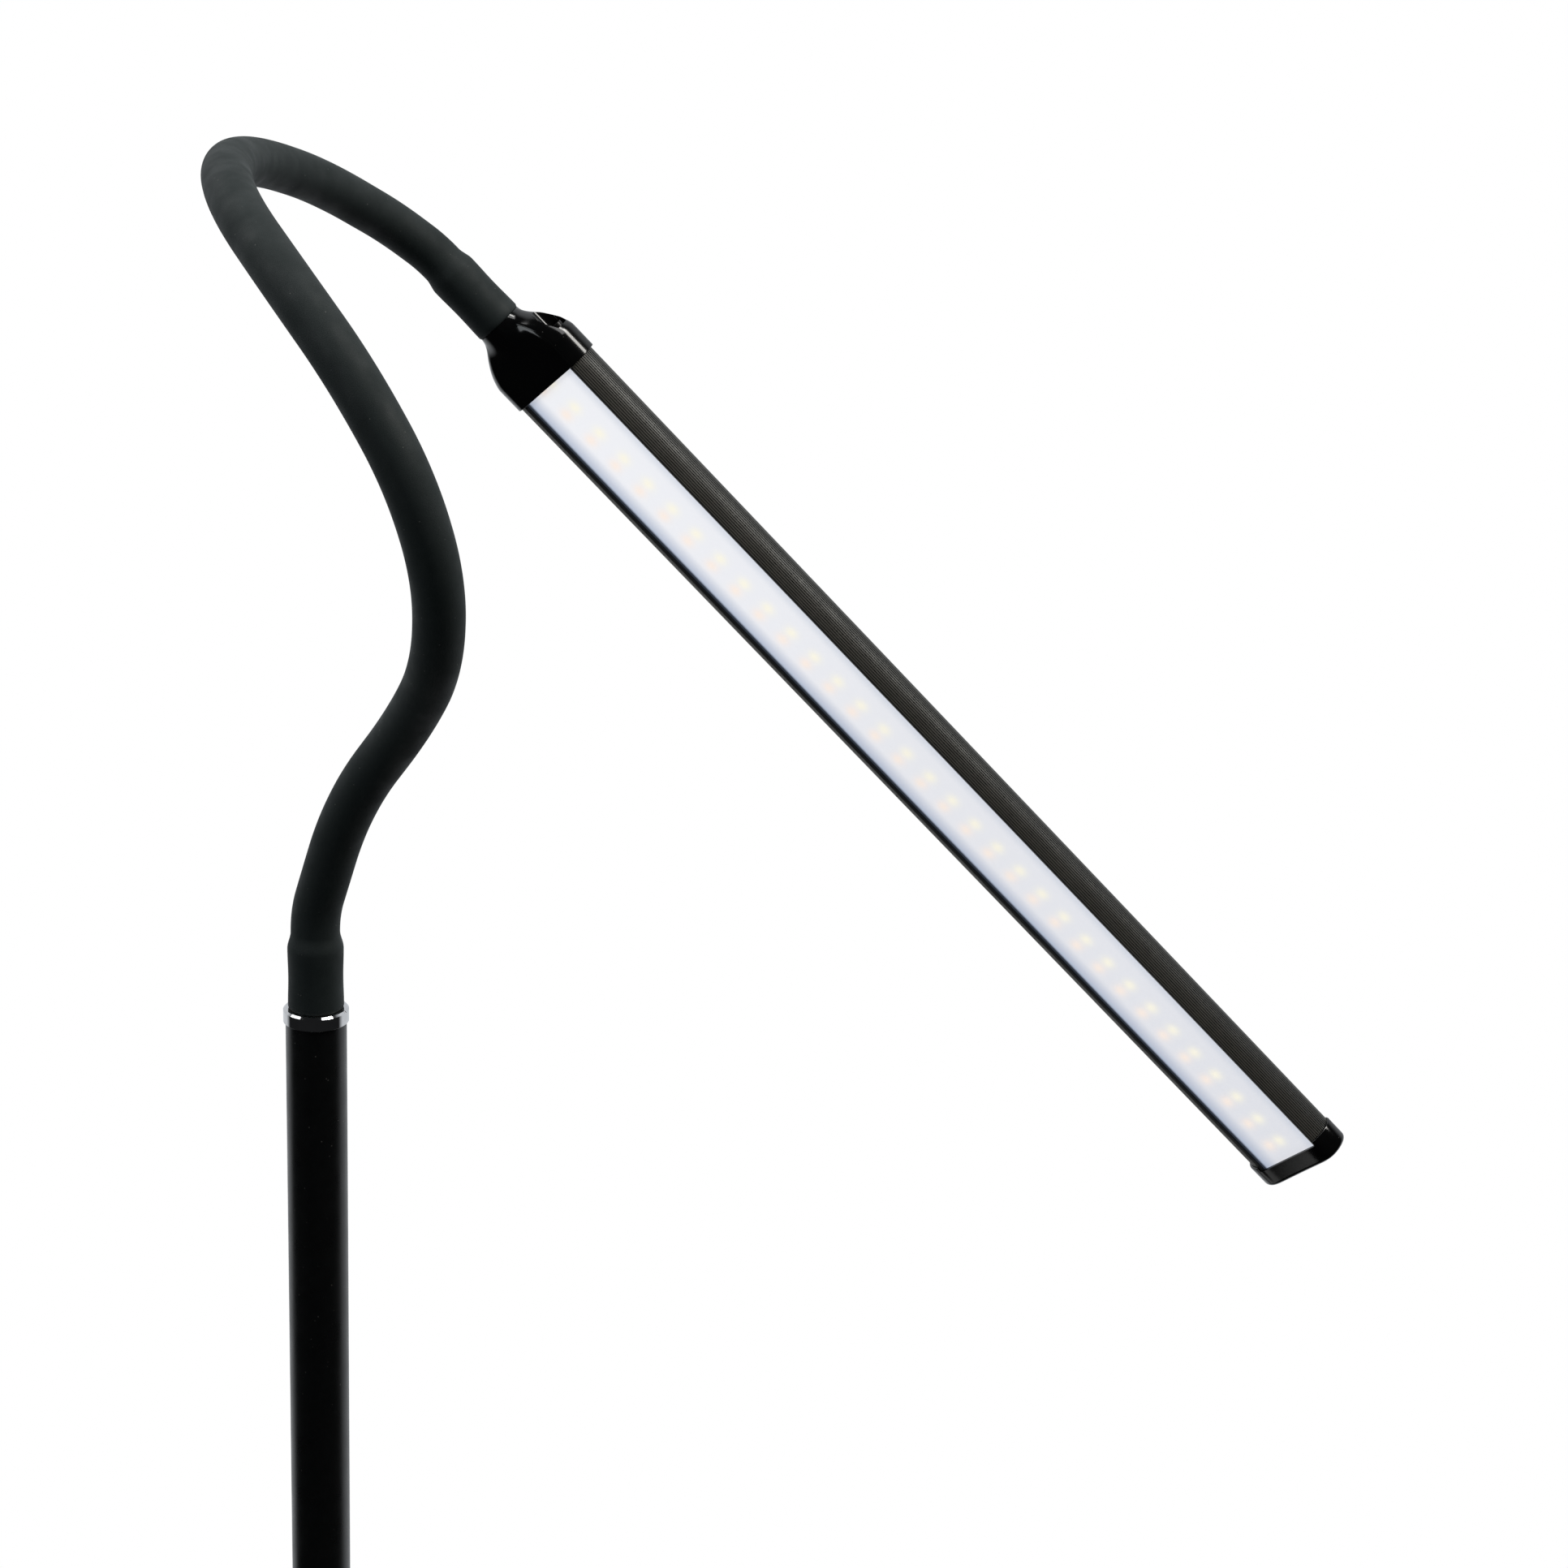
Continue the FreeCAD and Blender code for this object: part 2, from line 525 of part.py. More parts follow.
def make_ends(bends, sleeve_end, along):
    """Both ferrules and both boots."""
    first = bends[0]
    stem_top = Vector(0, 0, RING_TOP + POLE_BOOT_LENGTH)
    plug = cylinder(POLE_BORE - SLIP_FIT, POLE_TOP - FERRULE_GRIP, RING_TOP)
    plug = plug.cut(cylinder(CABLE_RADIUS + 0.4, POLE_TOP - FERRULE_GRIP, POLE_TOP - 4))
    pieces = [
        plug,
        cylinder(FERRULE_STEM_RADIUS, RING_TOP, stem_top.z),
        straight_piece(stem_top, first.start, CORE_RADIUS),
        bent_piece(first.start, first.inward, first, first.turn / 2, CORE_RADIUS),
        cup_end(first),
    ]
    ferrule = join_up(pieces).cut(cup_hollow(first))
    keep("pole_ferrule", ferrule)
    keep("pole_boot", boot(Vector(0, 0, RING_TOP), Z_AXIS, BOOT_RADIUS, POLE_BOOT_LENGTH))

    last = bends[-1]
    skip = neck_angle(last)
    body_start = turned_point(last.middle, last, skip)
    body_tangent = FreeCAD.Rotation(last.axis, math.degrees(skip)).multVec(last.tangent)
    stem_start = sleeve_end - along * HEAD_BOOT_LENGTH
    pieces = [
        ball_and_neck(last),
        bent_piece(body_start, body_tangent, last, last.turn / 2 - skip, CORE_RADIUS),
        straight_piece(last.end, stem_start, CORE_RADIUS),
        straight_piece(stem_start, sleeve_end, FERRULE_STEM_RADIUS),
        straight_piece(sleeve_end, sleeve_end + along * (HOUSING_START - 3.0), STUD_RADIUS),
    ]
    keep("head_ferrule", join_up(pieces))
    keep("head_boot", boot(sleeve_end, along * -1, HEAD_BOOT_RADIUS, HEAD_BOOT_LENGTH))


# ---------------------------------------------------------------- light bar, in its own frame
# X runs across the bar, Y towards the light side and Z along it, from the end of the sleeve.
def place_on_head(shape, sleeve_end, axes):
    across, light, along = axes
    matrix = FreeCAD.Matrix(
        across.x, light.x, along.x, sleeve_end.x,
        across.y, light.y, along.y, sleeve_end.y,
        across.z, light.z, along.z, sleeve_end.z,
        0, 0, 0, 1)
    placed = shape.copy()
    placed.Placement = FreeCAD.Placement(matrix)
    return placed


def light_y(height):
    """Height above the diffuser's face, as Y in the bar's frame."""
    return height + AXIS_TO_LIGHT


def side_circle():
    """Centre and radius of the housing's curved side, measured from the diffuser's face."""
    top = Vector(OPENING_HALF + LIP_WIDTH, LIP_HEIGHT, 0)
    side = arc(top, Vector(*SIDE_MID, 0), Vector(*SIDE_LOW, 0)).Curve
    return side.Center, side.Radius


def on_side(angle, grow):
    centre, radius = side_circle()
    out = radius + grow
    return Vector(centre.x + out * math.cos(angle), light_y(centre.y + out * math.sin(angle)), 0)


def mirrored(point):
    return Vector(-point.x, point.y, point.z)


def section_wire(grow, ribbed=False, level=0.0):
    """Outline of the bar's outside, grown by a wall, with V-shaped ribs on its sides if asked."""
    centre, radius = side_circle()
    top_angle = math.asin((LIP_HEIGHT + grow - centre.y) / (radius + grow))
    low_angle = math.asin((SIDE_LOW[1] - centre.y) / (radius + grow))
    back = light_y(-BACK_DEPTH) - grow
    corner = BACK_CORNER_RADIUS + grow
    top = on_side(top_angle, grow)
    foot = on_side(low_angle, grow)
    if ribbed:
        side = []
        step = (low_angle - top_angle) / RIB_COUNT
        for index in range(RIB_COUNT):
            side.append(on_side(top_angle + step * index, grow))
            side.append(on_side(top_angle + step * (index + RIB_LAND), grow))
            side.append(on_side(top_angle + step * (index + RIB_LAND / 2 + 0.5), grow - RIB_DEPTH))
        side.append(foot)
        right = [line(a, b) for a, b in zip(side, side[1:])]
        left = [line(mirrored(b), mirrored(a)) for a, b in zip(side, side[1:])]
    else:
        middle = on_side((top_angle + low_angle) / 2, grow)
        right = [arc(top, middle, foot)]
        left = [arc(mirrored(foot), mirrored(middle), mirrored(top))]
    bend_start = Vector(foot.x, back + corner, 0)
    bend_middle = Vector(foot.x - corner * (1 - math.sqrt(0.5)), back + corner * (1 - math.sqrt(0.5)), 0)
    bend_end = Vector(foot.x - corner, back, 0)
    edges = [line(mirrored(top), top)] + right + left
    edges.append(line(foot, bend_start))
    edges.append(arc(bend_start, bend_middle, bend_end))
    edges.append(line(bend_end, mirrored(bend_end)))
    edges.append(arc(mirrored(bend_end), mirrored(bend_middle), mirrored(bend_start)))
    edges.append(line(mirrored(bend_start), mirrored(foot)))
    wire = Part.Wire(Part.sortEdges(edges)[0])
    wire.translate(Vector(0, 0, level))
    return wire


def bar_prism(grow, start, end, ribbed=False):
    return Part.Face(section_wire(grow, ribbed, start)).extrude(Vector(0, 0, end - start))


def bar_block(half_width, low, high, start, end):
    """A block across the bar between two heights above the diffuser's face."""
    return Part.makeBox(half_width * 2, high - low, end - start, Vector(-half_width, light_y(low), start))


def port_places():
    return [(side * PORT_X, light_y(PORT_Y)) for side in (-1, 1)]


def make_bar(put):
    long_start = HOUSING_START - 1
    long_end = HOUSING_END + 1
    housing = bar_prism(0.0, HOUSING_START, HOUSING_END, ribbed=True)
    floor = -BACK_DEPTH + FLOOR_THICKNESS
    seat = -DIFFUSER_THICKNESS - DIFFUSER_FIT
    cuts = [
        bar_block(OPENING_HALF, 0, LIP_HEIGHT + 1, long_start, long_end),
        bar_block(OPENING_HALF + 0.7, seat, DIFFUSER_FIT, long_start, long_end),
        bar_block(LEDGE_HALF, CAVITY_TOP, 0, long_start, long_end),
        bar_block(CAVITY_HALF, floor, CAVITY_TOP, long_start, long_end),
    ]
    for x, y in port_places():
        cuts.append(cylinder(PORT_RADIUS, long_start, long_end, x, y))
    for cut in cuts:
        housing = housing.cut(cut)
    put("bar_housing", housing)

    glow_end = HOUSING_END - 0.5
    put("diffuser", bar_block(
        OPENING_HALF + 0.6, -DIFFUSER_THICKNESS, 0, HOUSING_START + 2, glow_end))

    board_top = floor + LED_BOARD_THICKNESS
    put("led_board", bar_block(LED_BOARD_HALF, floor, board_top, HOUSING_START + 4, glow_end))
    rows = {"cool_leds": LED_ROW_SHIFT + LED_ROW_OFFSET, "warm_leds": LED_ROW_SHIFT - LED_ROW_OFFSET}
    for name, row in rows.items():
        chips = []
        for index in range(LED_COUNT):
            low = LED_FIRST + index * LED_PITCH - LED_SIZE[1] / 2
            corner = Vector(row - LED_SIZE[0] / 2, light_y(board_top), low)
            chips.append(Part.makeBox(LED_SIZE[0], LED_SIZE[2], LED_SIZE[1], corner))
        put(name, group(chips))
    pads = []
    for side in (-1, 1):
        wire_start = Vector(side * 2.0, light_y(board_top) + 0.7, HOUSING_START - 2.5)
        pads.append(Part.makeCylinder(0.7, 9.0, wire_start, Z_AXIS))
    put("led_leads", group(pads))


def blend_outline(share, level):
    """Outline between the round neck (share 0) and the bar's grown section (share 1)."""
    wire = section_wire(SHOE_WALL)
    points = []
    steps = 24
    far = SIDE_LOW[0] * 3
    for index in range(steps):
        angle = 2 * math.pi * (index + 0.5) / steps
        ray_end = Vector(far * math.cos(angle), far * math.sin(angle), 0)
        gap, hits, info = line(Vector(0, 0, 0), ray_end).distToShape(wire)
        edge_point = hits[0][0]
        reach = math.hypot(edge_point.x, edge_point.y)
        radius = NECK_START_RADIUS * (1 - share) + (reach - 0.6) * share
        points.append(Vector(radius * math.cos(angle), radius * math.sin(angle), level))
    curve = Part.BSplineCurve()
    curve.interpolate(points, PeriodicFlag=True)
    return Part.Wire(curve.toShape())


def make_adapter(put):
    """Moulded shoe over the bar's end, flowing into the round neck that takes the gooseneck."""
    shoe_start = LIGHT_START - SHOE_LENGTH
    shares = [
        (0.0, 0.0), (0.06, 2.0), (0.22, 4.5), (0.47, 7.5), (0.7, 11.0), (0.87, 14.5),
        (0.965, shoe_start), (1.0, shoe_start + 1.2),
    ]
    neck = Part.makeLoft([blend_outline(share, level) for share, level in shares], True, False)
    shoe = bar_prism(SHOE_WALL, shoe_start + 0.9, LIGHT_START)
    adapter = neck.fuse(shoe)
    adapter = adapter.cut(bar_prism(FIT, HOUSING_START, LIGHT_START + 1))
    adapter = adapter.cut(cylinder(STUD_RADIUS + SLIP_FIT, -1, HOUSING_START + 1))
    head_level = HOUSING_START - SCOOP_END_WALL
    for x, y in port_places():
        adapter = adapter.cut(cylinder(SCOOP_RADIUS, -1, head_level, x, y))
        adapter = adapter.cut(cylinder(PORT_RADIUS + 0.3, head_level - 1, HOUSING_START + 1, x, y))
    put("head_adapter", adapter)

    screws = []
    for x, y in port_places():
        head = cylinder(PORT_SCREW_HEAD, head_level - 1.8, head_level, x, y)
        shank = cylinder(PORT_RADIUS - 0.02, head_level, head_level + PORT_SCREW_LENGTH, x, y)
        screws.append(head.fuse(shank))
    put("adapter_screws", group(screws))


def make_cap(put):
    """Moulded cap over the far end: a skirt on the sides and back, a bezel across the light side."""
    end = LIGHT_END + CAP_LENGTH
    cap = bar_prism(SHOE_WALL, LIGHT_END - CAP_SKIRT, end - CAP_ROUND)
    nose = []
    for degrees in (0, 30, 60, 90):
        inset = CAP_ROUND * (1 - math.cos(math.radians(degrees)))
        level = end - CAP_ROUND * (1 - math.sin(math.radians(degrees)))
        nose.append(section_wire(SHOE_WALL - inset, False, level))
    cap = cap.fuse(Part.makeLoft(nose, True, True))
    cap = cap.cut(bar_prism(FIT, LIGHT_END - CAP_SKIRT - 1, HOUSING_END))
    window_half = OPENING_HALF + LIP_WIDTH
    window_top = LIP_HEIGHT + SHOE_WALL + 1
    cap = cap.cut(bar_block(window_half, -0.5, window_top, LIGHT_END - CAP_SKIRT - 1, LIGHT_END))
    head_level = end - 2.0
    for x, y in port_places():
        cap = cap.cut(cylinder(PORT_RADIUS + 0.3, HOUSING_END - 1, end + 1, x, y))
        cap = cap.cut(cylinder(PORT_SCREW_HEAD + 0.2, head_level, end + 1, x, y))
    put("end_cap", cap)

    screws = []
    for x, y in port_places():
        head = cylinder(PORT_SCREW_HEAD, head_level, head_level + 1.6, x, y)
        shank = cylinder(PORT_RADIUS - 0.02, head_level - PORT_SCREW_LENGTH, head_level, x, y)
        screws.append(head.fuse(shank))
    put("cap_screws", group(screws))


def main():
    make_base()
    make_pole()
    bends, joins, sleeve_end = route()
    axes = head_axes()
    make_sleeve(bends, joins)
    make_core(bends)
    make_ends(bends, sleeve_end, axes[2])

    def put(name, shape):
        keep(name, place_on_head(shape, sleeve_end, axes))

    make_bar(put)
    make_adapter(put)
    make_cap(put)

    os.makedirs("parts", exist_ok=True)
    for name, shape in PARTS.items():
        solids = shape.Solids
        print("%-18s solids %2d  volume %10.1f mm3  valid %s" % (
            name, len(solids), shape.Volume, shape.isValid()))
        shape.exportStep("parts/%s.step" % name)
    print("nodes", len(PARTS))
    for index, bend in enumerate(bends):
        print("bend %2d  turn %5.1f deg  radius %5.1f" % (index + 1, math.degrees(bend.turn), bend.radius))
        print("  middle (%.2f, %.2f, %.2f)  axis (%.4f, %.4f, %.4f)" % (*bend.middle, *bend.axis))


main()
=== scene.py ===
# %% [markdown]
# # Gooseneck reading floor lamp
#
# The lamp is a round weighted base, a slim pole, a long bent gooseneck in a rubber sleeve, and a flat bar
# light that hangs from it at a slant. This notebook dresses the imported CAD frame: it gives every part a
# finish, and replaces the sleeve, the boots, the chrome ring, the moulded adapter and the end cap by
# smoother surfaces that follow the same formulas as the solids. Sizes are written in millimetres and made
# into metres where a mesh is built, in the frame of the CAD.

import json
import math

import bpy
import numpy as np
from mathutils import Matrix, Vector

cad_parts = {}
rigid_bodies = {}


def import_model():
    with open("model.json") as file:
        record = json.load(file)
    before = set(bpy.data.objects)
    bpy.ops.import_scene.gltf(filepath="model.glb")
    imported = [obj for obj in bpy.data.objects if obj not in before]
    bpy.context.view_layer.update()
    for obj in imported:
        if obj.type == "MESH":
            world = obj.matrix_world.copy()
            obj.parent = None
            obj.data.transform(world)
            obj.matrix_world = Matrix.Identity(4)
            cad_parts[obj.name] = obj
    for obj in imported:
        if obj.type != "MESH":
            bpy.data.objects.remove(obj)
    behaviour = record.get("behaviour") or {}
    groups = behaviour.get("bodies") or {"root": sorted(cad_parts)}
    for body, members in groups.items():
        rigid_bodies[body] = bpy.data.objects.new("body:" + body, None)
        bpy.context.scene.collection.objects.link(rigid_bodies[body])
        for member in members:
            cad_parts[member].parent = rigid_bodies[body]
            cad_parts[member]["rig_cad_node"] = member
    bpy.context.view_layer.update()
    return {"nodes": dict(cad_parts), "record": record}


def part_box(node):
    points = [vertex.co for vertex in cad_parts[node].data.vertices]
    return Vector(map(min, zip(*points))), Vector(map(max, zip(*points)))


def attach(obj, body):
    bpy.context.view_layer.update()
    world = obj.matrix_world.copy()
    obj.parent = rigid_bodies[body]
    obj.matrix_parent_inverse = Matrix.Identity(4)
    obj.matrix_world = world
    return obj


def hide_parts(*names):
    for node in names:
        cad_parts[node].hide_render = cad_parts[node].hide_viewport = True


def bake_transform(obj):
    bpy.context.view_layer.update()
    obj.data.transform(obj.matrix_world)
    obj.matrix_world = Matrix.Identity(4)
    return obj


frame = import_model()
scene = bpy.context.scene
NODES = frame["nodes"]
MM = 0.001

# %% [markdown]
# ## Sizes shared with the solids
#
# A second copy of the part's own numbers, in millimetres. They could be read off the meshes, but the
# route of the gooseneck and the section of the bar are cleaner as a few corner points and lines, so they
# are written out. The ring's height comes from the frame itself.

# %% Sizes
ring_low, ring_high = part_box("chrome_ring")
POLE_TOP = ring_low.z / MM
RING_TOP = ring_high.z / MM
BENDS = [
    (0, 0, 41.7), (13.3, -8.7, 86), (37, -24.7, 121.2), (49, -43.6, 146.5), (51.2, -55.6, 178.8),
    (41.8, -59.8, 213), (22, -53, 245.5), (-3.6, -31, 272.6), (-26, 5.6, 290), (-38.4, 51, 298.7),
    (-35.6, 97.3, 296), (-18.8, 136.4, 285), (4.6, 163, 267.2), (19.1, 171, 255.4),
]
HEAD_LEAD = 38.0
HEAD_DROP, HEAD_HEADING, HEAD_ROLL = 44.8, 1.0, 26.3
SLEEVE_RADIUS = 8.8
POLE_BOOT_LENGTH, HEAD_BOOT_LENGTH, BOOT_TAPER = 24.1, 26.8, 5.0
POLE_BOOT_RADIUS, HEAD_BOOT_RADIUS = 10.1, 9.95
AXIS_TO_LIGHT = 5.3
OPENING_HALF, LIP_WIDTH, LIP_HEIGHT = 14.2, 1.1, 1.2
SIDE_MID, SIDE_LOW = (19.2, -2.2), (21.0, -8.0)
BACK_DEPTH, BACK_CORNER = 11.5, 2.6
LIGHT_START, LIGHT_LENGTH = 30.9, 455.8
LIGHT_END = LIGHT_START + LIGHT_LENGTH
HOUSING_START, HOUSING_END = LIGHT_START - 12.0, LIGHT_END + 1.5
LED_PITCH, LED_FIRST = 14.0, 30.0
LED_ROW_OFFSET, LED_ROW_SHIFT = 2.7, -0.8
LIP_EDGE = 0.45


def unit(vector):
    """A vector divided by its own length."""
    vector = np.asarray(vector, float)
    return vector / np.linalg.norm(vector)


def side_circle():
    """Centre and radius of the bar's curved side: the circle through its top, middle and low points."""
    top = np.array([OPENING_HALF + LIP_WIDTH, LIP_HEIGHT])
    middle, low = np.array(SIDE_MID), np.array(SIDE_LOW)
    system = 2 * np.array([middle - top, low - middle])
    centre = np.linalg.solve(system, [middle @ middle - top @ top, low @ low - middle @ middle])
    return centre, np.linalg.norm(top - centre)


drop, heading, roll = (math.radians(a) for a in (HEAD_DROP, HEAD_HEADING, HEAD_ROLL))
ALONG = np.array([math.cos(drop) * math.cos(heading), math.cos(drop) * math.sin(heading), -math.sin(drop)])
level = unit(np.cross(ALONG, [0, 0, 1]))
lower = unit(np.cross(ALONG, level))
LIGHT = level * math.cos(roll) + lower * math.sin(roll)
ACROSS = np.cross(LIGHT, ALONG)
corners = np.array(BENDS, float) + [0, 0, POLE_TOP]
SLEEVE_END = corners[-1] + ALONG * HEAD_LEAD
print("end of the sleeve:", SLEEVE_END.round(2), "light side looks along:", LIGHT.round(3))

# %% [markdown]
# ## Meshes from formulas
#
# Each new piece is a rectangular grid of points worked out at once with numpy and turned into quads. A
# subdivided primitive would be quicker to write, but a grid keeps the same formula as the solid, so the
# two line up at every bend.


# %% Mesh helpers
def grid_object(name, points, ends=False):
    """A tube from points[along, around, xyz] in millimetres: a quad for each cell, flat ends if asked."""
    rows, columns = points.shape[:2]
    index = np.arange(rows * columns).reshape(rows, columns)
    around = np.concatenate([index, index[:, :1]], axis=1)
    quads = np.stack([around[:-1, :-1], around[:-1, 1:], around[1:, 1:], around[1:, :-1]], axis=-1)
    faces = quads.reshape(-1, 4).tolist()
    if ends:
        faces += [index[0, ::-1].tolist(), index[-1].tolist()]
    mesh = bpy.data.meshes.new(name)
    mesh.from_pydata((points.reshape(-1, 3) * MM).tolist(), [], faces)
    mesh.validate()
    mesh.update()
    mesh.polygons.foreach_set("use_smooth", np.ones(len(mesh.polygons), bool))
    obj = bpy.data.objects.new(name, mesh)
    scene.collection.objects.link(obj)
    return obj


def sharpen(obj, degrees):
    """Marks the edges that are creased by more than an angle as sharp."""
    obj.data.set_sharp_from_angle(angle=math.radians(degrees))


def lathe(name, profile, origin, axis, body, stands_for, steps=96):
    """A turned piece on a body: each (distance, radius) of the profile is a circle square to the axis."""
    profile = np.array(profile, float)
    axis = unit(axis)
    side = unit(np.cross(axis, [0.3, 1, 0.2]))
    other = np.cross(axis, side)
    angle = np.linspace(0, 2 * np.pi, steps, endpoint=False)
    ring = np.cos(angle)[:, None] * side + np.sin(angle)[:, None] * other
    points = np.asarray(origin) + profile[:, 0, None, None] * axis + profile[:, 1, None, None] * ring
    obj = grid_object(name, points)
    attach(obj, body)
    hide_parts(stands_for)
    return obj


def rounded(profile, radius, steps=5):
    """An open profile whose corners c become curves: (1-t)^2 a + 2t(1-t) c + t^2 b, as long as an arc."""
    profile = [np.array(p, float) for p in profile]
    out = [profile[0]]
    for before, corner, after in zip(profile, profile[1:], profile[2:]):
        back, on = unit(before - corner), unit(after - corner)
        turn = math.acos(max(-1.0, min(1.0, float(-back @ on))))
        if turn < 1e-3:
            continue
        reach = min(radius * math.tan(turn / 2), 0.45 * np.linalg.norm(before - corner),
                    0.45 * np.linalg.norm(after - corner))
        start, end = corner + back * reach, corner + on * reach
        t = np.linspace(0, 1, steps)[:, None]
        out.extend((1 - t) ** 2 * start + 2 * t * (1 - t) * corner + t ** 2 * end)
    out.append(profile[-1])
    return out


# %% [markdown]
# ## Finishes
#
# Every slot of the record gets a material made of nodes. Black parts are hardest: a flat black reads as a
# hole, so each has its own roughness, a fine bump and a slight mottle, and lets the soft lights draw its
# edges. The patterns read object coordinates, so they stay on the parts when the lamp is bent.


# %% Material helpers
def new_material(name):
    """An empty node material with one shader."""
    material = bpy.data.materials.new(name)
    material.use_nodes = True
    tree = material.node_tree
    tree.nodes.clear()
    output = tree.nodes.new("ShaderNodeOutputMaterial")
    shader = tree.nodes.new("ShaderNodeBsdfPrincipled")
    tree.links.new(shader.outputs[0], output.inputs[0])
    return material, tree, shader


def noise(tree, coords, scale, detail=3.0):
    """Smooth noise, its scale in cells to the metre."""
    node = tree.nodes.new("ShaderNodeTexNoise")
    node.inputs["Scale"].default_value = scale
    node.inputs["Detail"].default_value = detail
    tree.links.new(coords, node.inputs["Vector"])
    return node.outputs[0]


def spread(tree, value, low, high, from_low=0.3, from_high=0.7):
    """A value's range from_low to from_high laid onto low to high, and held at both ends."""
    node = tree.nodes.new("ShaderNodeMapRange")
    for key, number in zip(("From Min", "From Max", "To Min", "To Max"), (from_low, from_high, low, high)):
        node.inputs[key].default_value = number
    tree.links.new(value, node.inputs["Value"])
    return node.outputs[0]


def mix_colours(tree, factor, first, second):
    """From a first colour, written or linked, to a written second one as the factor goes from 0 to 1."""
    node = tree.nodes.new("ShaderNodeMix")
    node.data_type = "RGBA"
    tree.links.new(factor, node.inputs[0])
    if isinstance(first, tuple):
        node.inputs[6].default_value = (*first, 1)
    else:
        tree.links.new(first, node.inputs[6])
    node.inputs[7].default_value = (*second, 1)
    return node.outputs[2]


def math_node(tree, operation, *values, clamp=False):
    """One step of arithmetic on numbers and sockets."""
    node = tree.nodes.new("ShaderNodeMath")
    node.operation = operation
    node.use_clamp = clamp
    for socket, value in zip(node.inputs, values):
        if isinstance(value, (int, float)):
            socket.default_value = value
        else:
            tree.links.new(value, socket)
    return node.outputs[0]


# %% One finish
SPECK_CELLS, SPECK_PATCHES, SPECK_COLOUR = 420.0, 260.0, (0.30, 0.29, 0.27)
MOTTLE_CELLS, UNEVEN_SHARE, ROUGH_RANGE = 300.0, 0.31, 0.15
RELIEF_DEPTH = 0.0002


def dusted(tree, coords, colour, amount):
    """A colour with rare pale specks: dots about cell centres, kept only where a second noise is high."""
    dots = tree.nodes.new("ShaderNodeTexVoronoi")
    dots.inputs["Scale"].default_value = SPECK_CELLS
    tree.links.new(coords, dots.inputs["Vector"])
    near = spread(tree, dots.outputs["Distance"], 1.0, 0.0, 0.05, 0.11)
    rare = spread(tree, noise(tree, coords, SPECK_PATCHES, 0.0), 0.0, amount, 0.60, 0.66)
    return mix_colours(tree, math_node(tree, "MULTIPLY", near, rare), colour, SPECK_COLOUR)


def surface(name, dark, pale, rough, bump=0.0, bump_scale=900.0, metallic=0.0, stretch=(1, 1, 1),
            specular=0.5, specks=0.0):
    """A finish: a mottle between two colours, uneven roughness, a fine bump and, if asked, dust specks."""
    material, tree, shader = new_material(name)
    place = tree.nodes.new("ShaderNodeTexCoord").outputs["Object"]
    scaled = tree.nodes.new("ShaderNodeVectorMath")
    scaled.operation = "MULTIPLY"
    scaled.inputs[1].default_value = stretch
    tree.links.new(place, scaled.inputs[0])
    coords = scaled.outputs[0]
    mottle = noise(tree, coords, MOTTLE_CELLS)
    colour = mix_colours(tree, spread(tree, mottle, 0.0, 1.0), dark, pale)
    if specks:
        colour = dusted(tree, place, colour, specks)
    tree.links.new(colour, shader.inputs["Base Color"])
    uneven = noise(tree, coords, MOTTLE_CELLS * UNEVEN_SHARE)
    rougher = spread(tree, uneven, rough * (1 - ROUGH_RANGE), min(1.0, rough * (1 + ROUGH_RANGE)))
    tree.links.new(rougher, shader.inputs["Roughness"])
    shader.inputs["Metallic"].default_value = metallic
    shader.inputs["Specular IOR Level"].default_value = specular
    if bump:
        relief = tree.nodes.new("ShaderNodeBump")
        relief.inputs["Strength"].default_value = bump
        relief.inputs["Distance"].default_value = RELIEF_DEPTH
        tree.links.new(noise(tree, coords, bump_scale, 2.0), relief.inputs["Height"])
        tree.links.new(relief.outputs[0], shader.inputs["Normal"])
    return material


# %% [markdown]
# Black finishes differ mostly in how they shine: the powder coat of the pole is satin, the sleeve nearly
# dull, the moulded ends glossy, and the anodised bar a soft metal. The colours are linear values, so they
# look small.

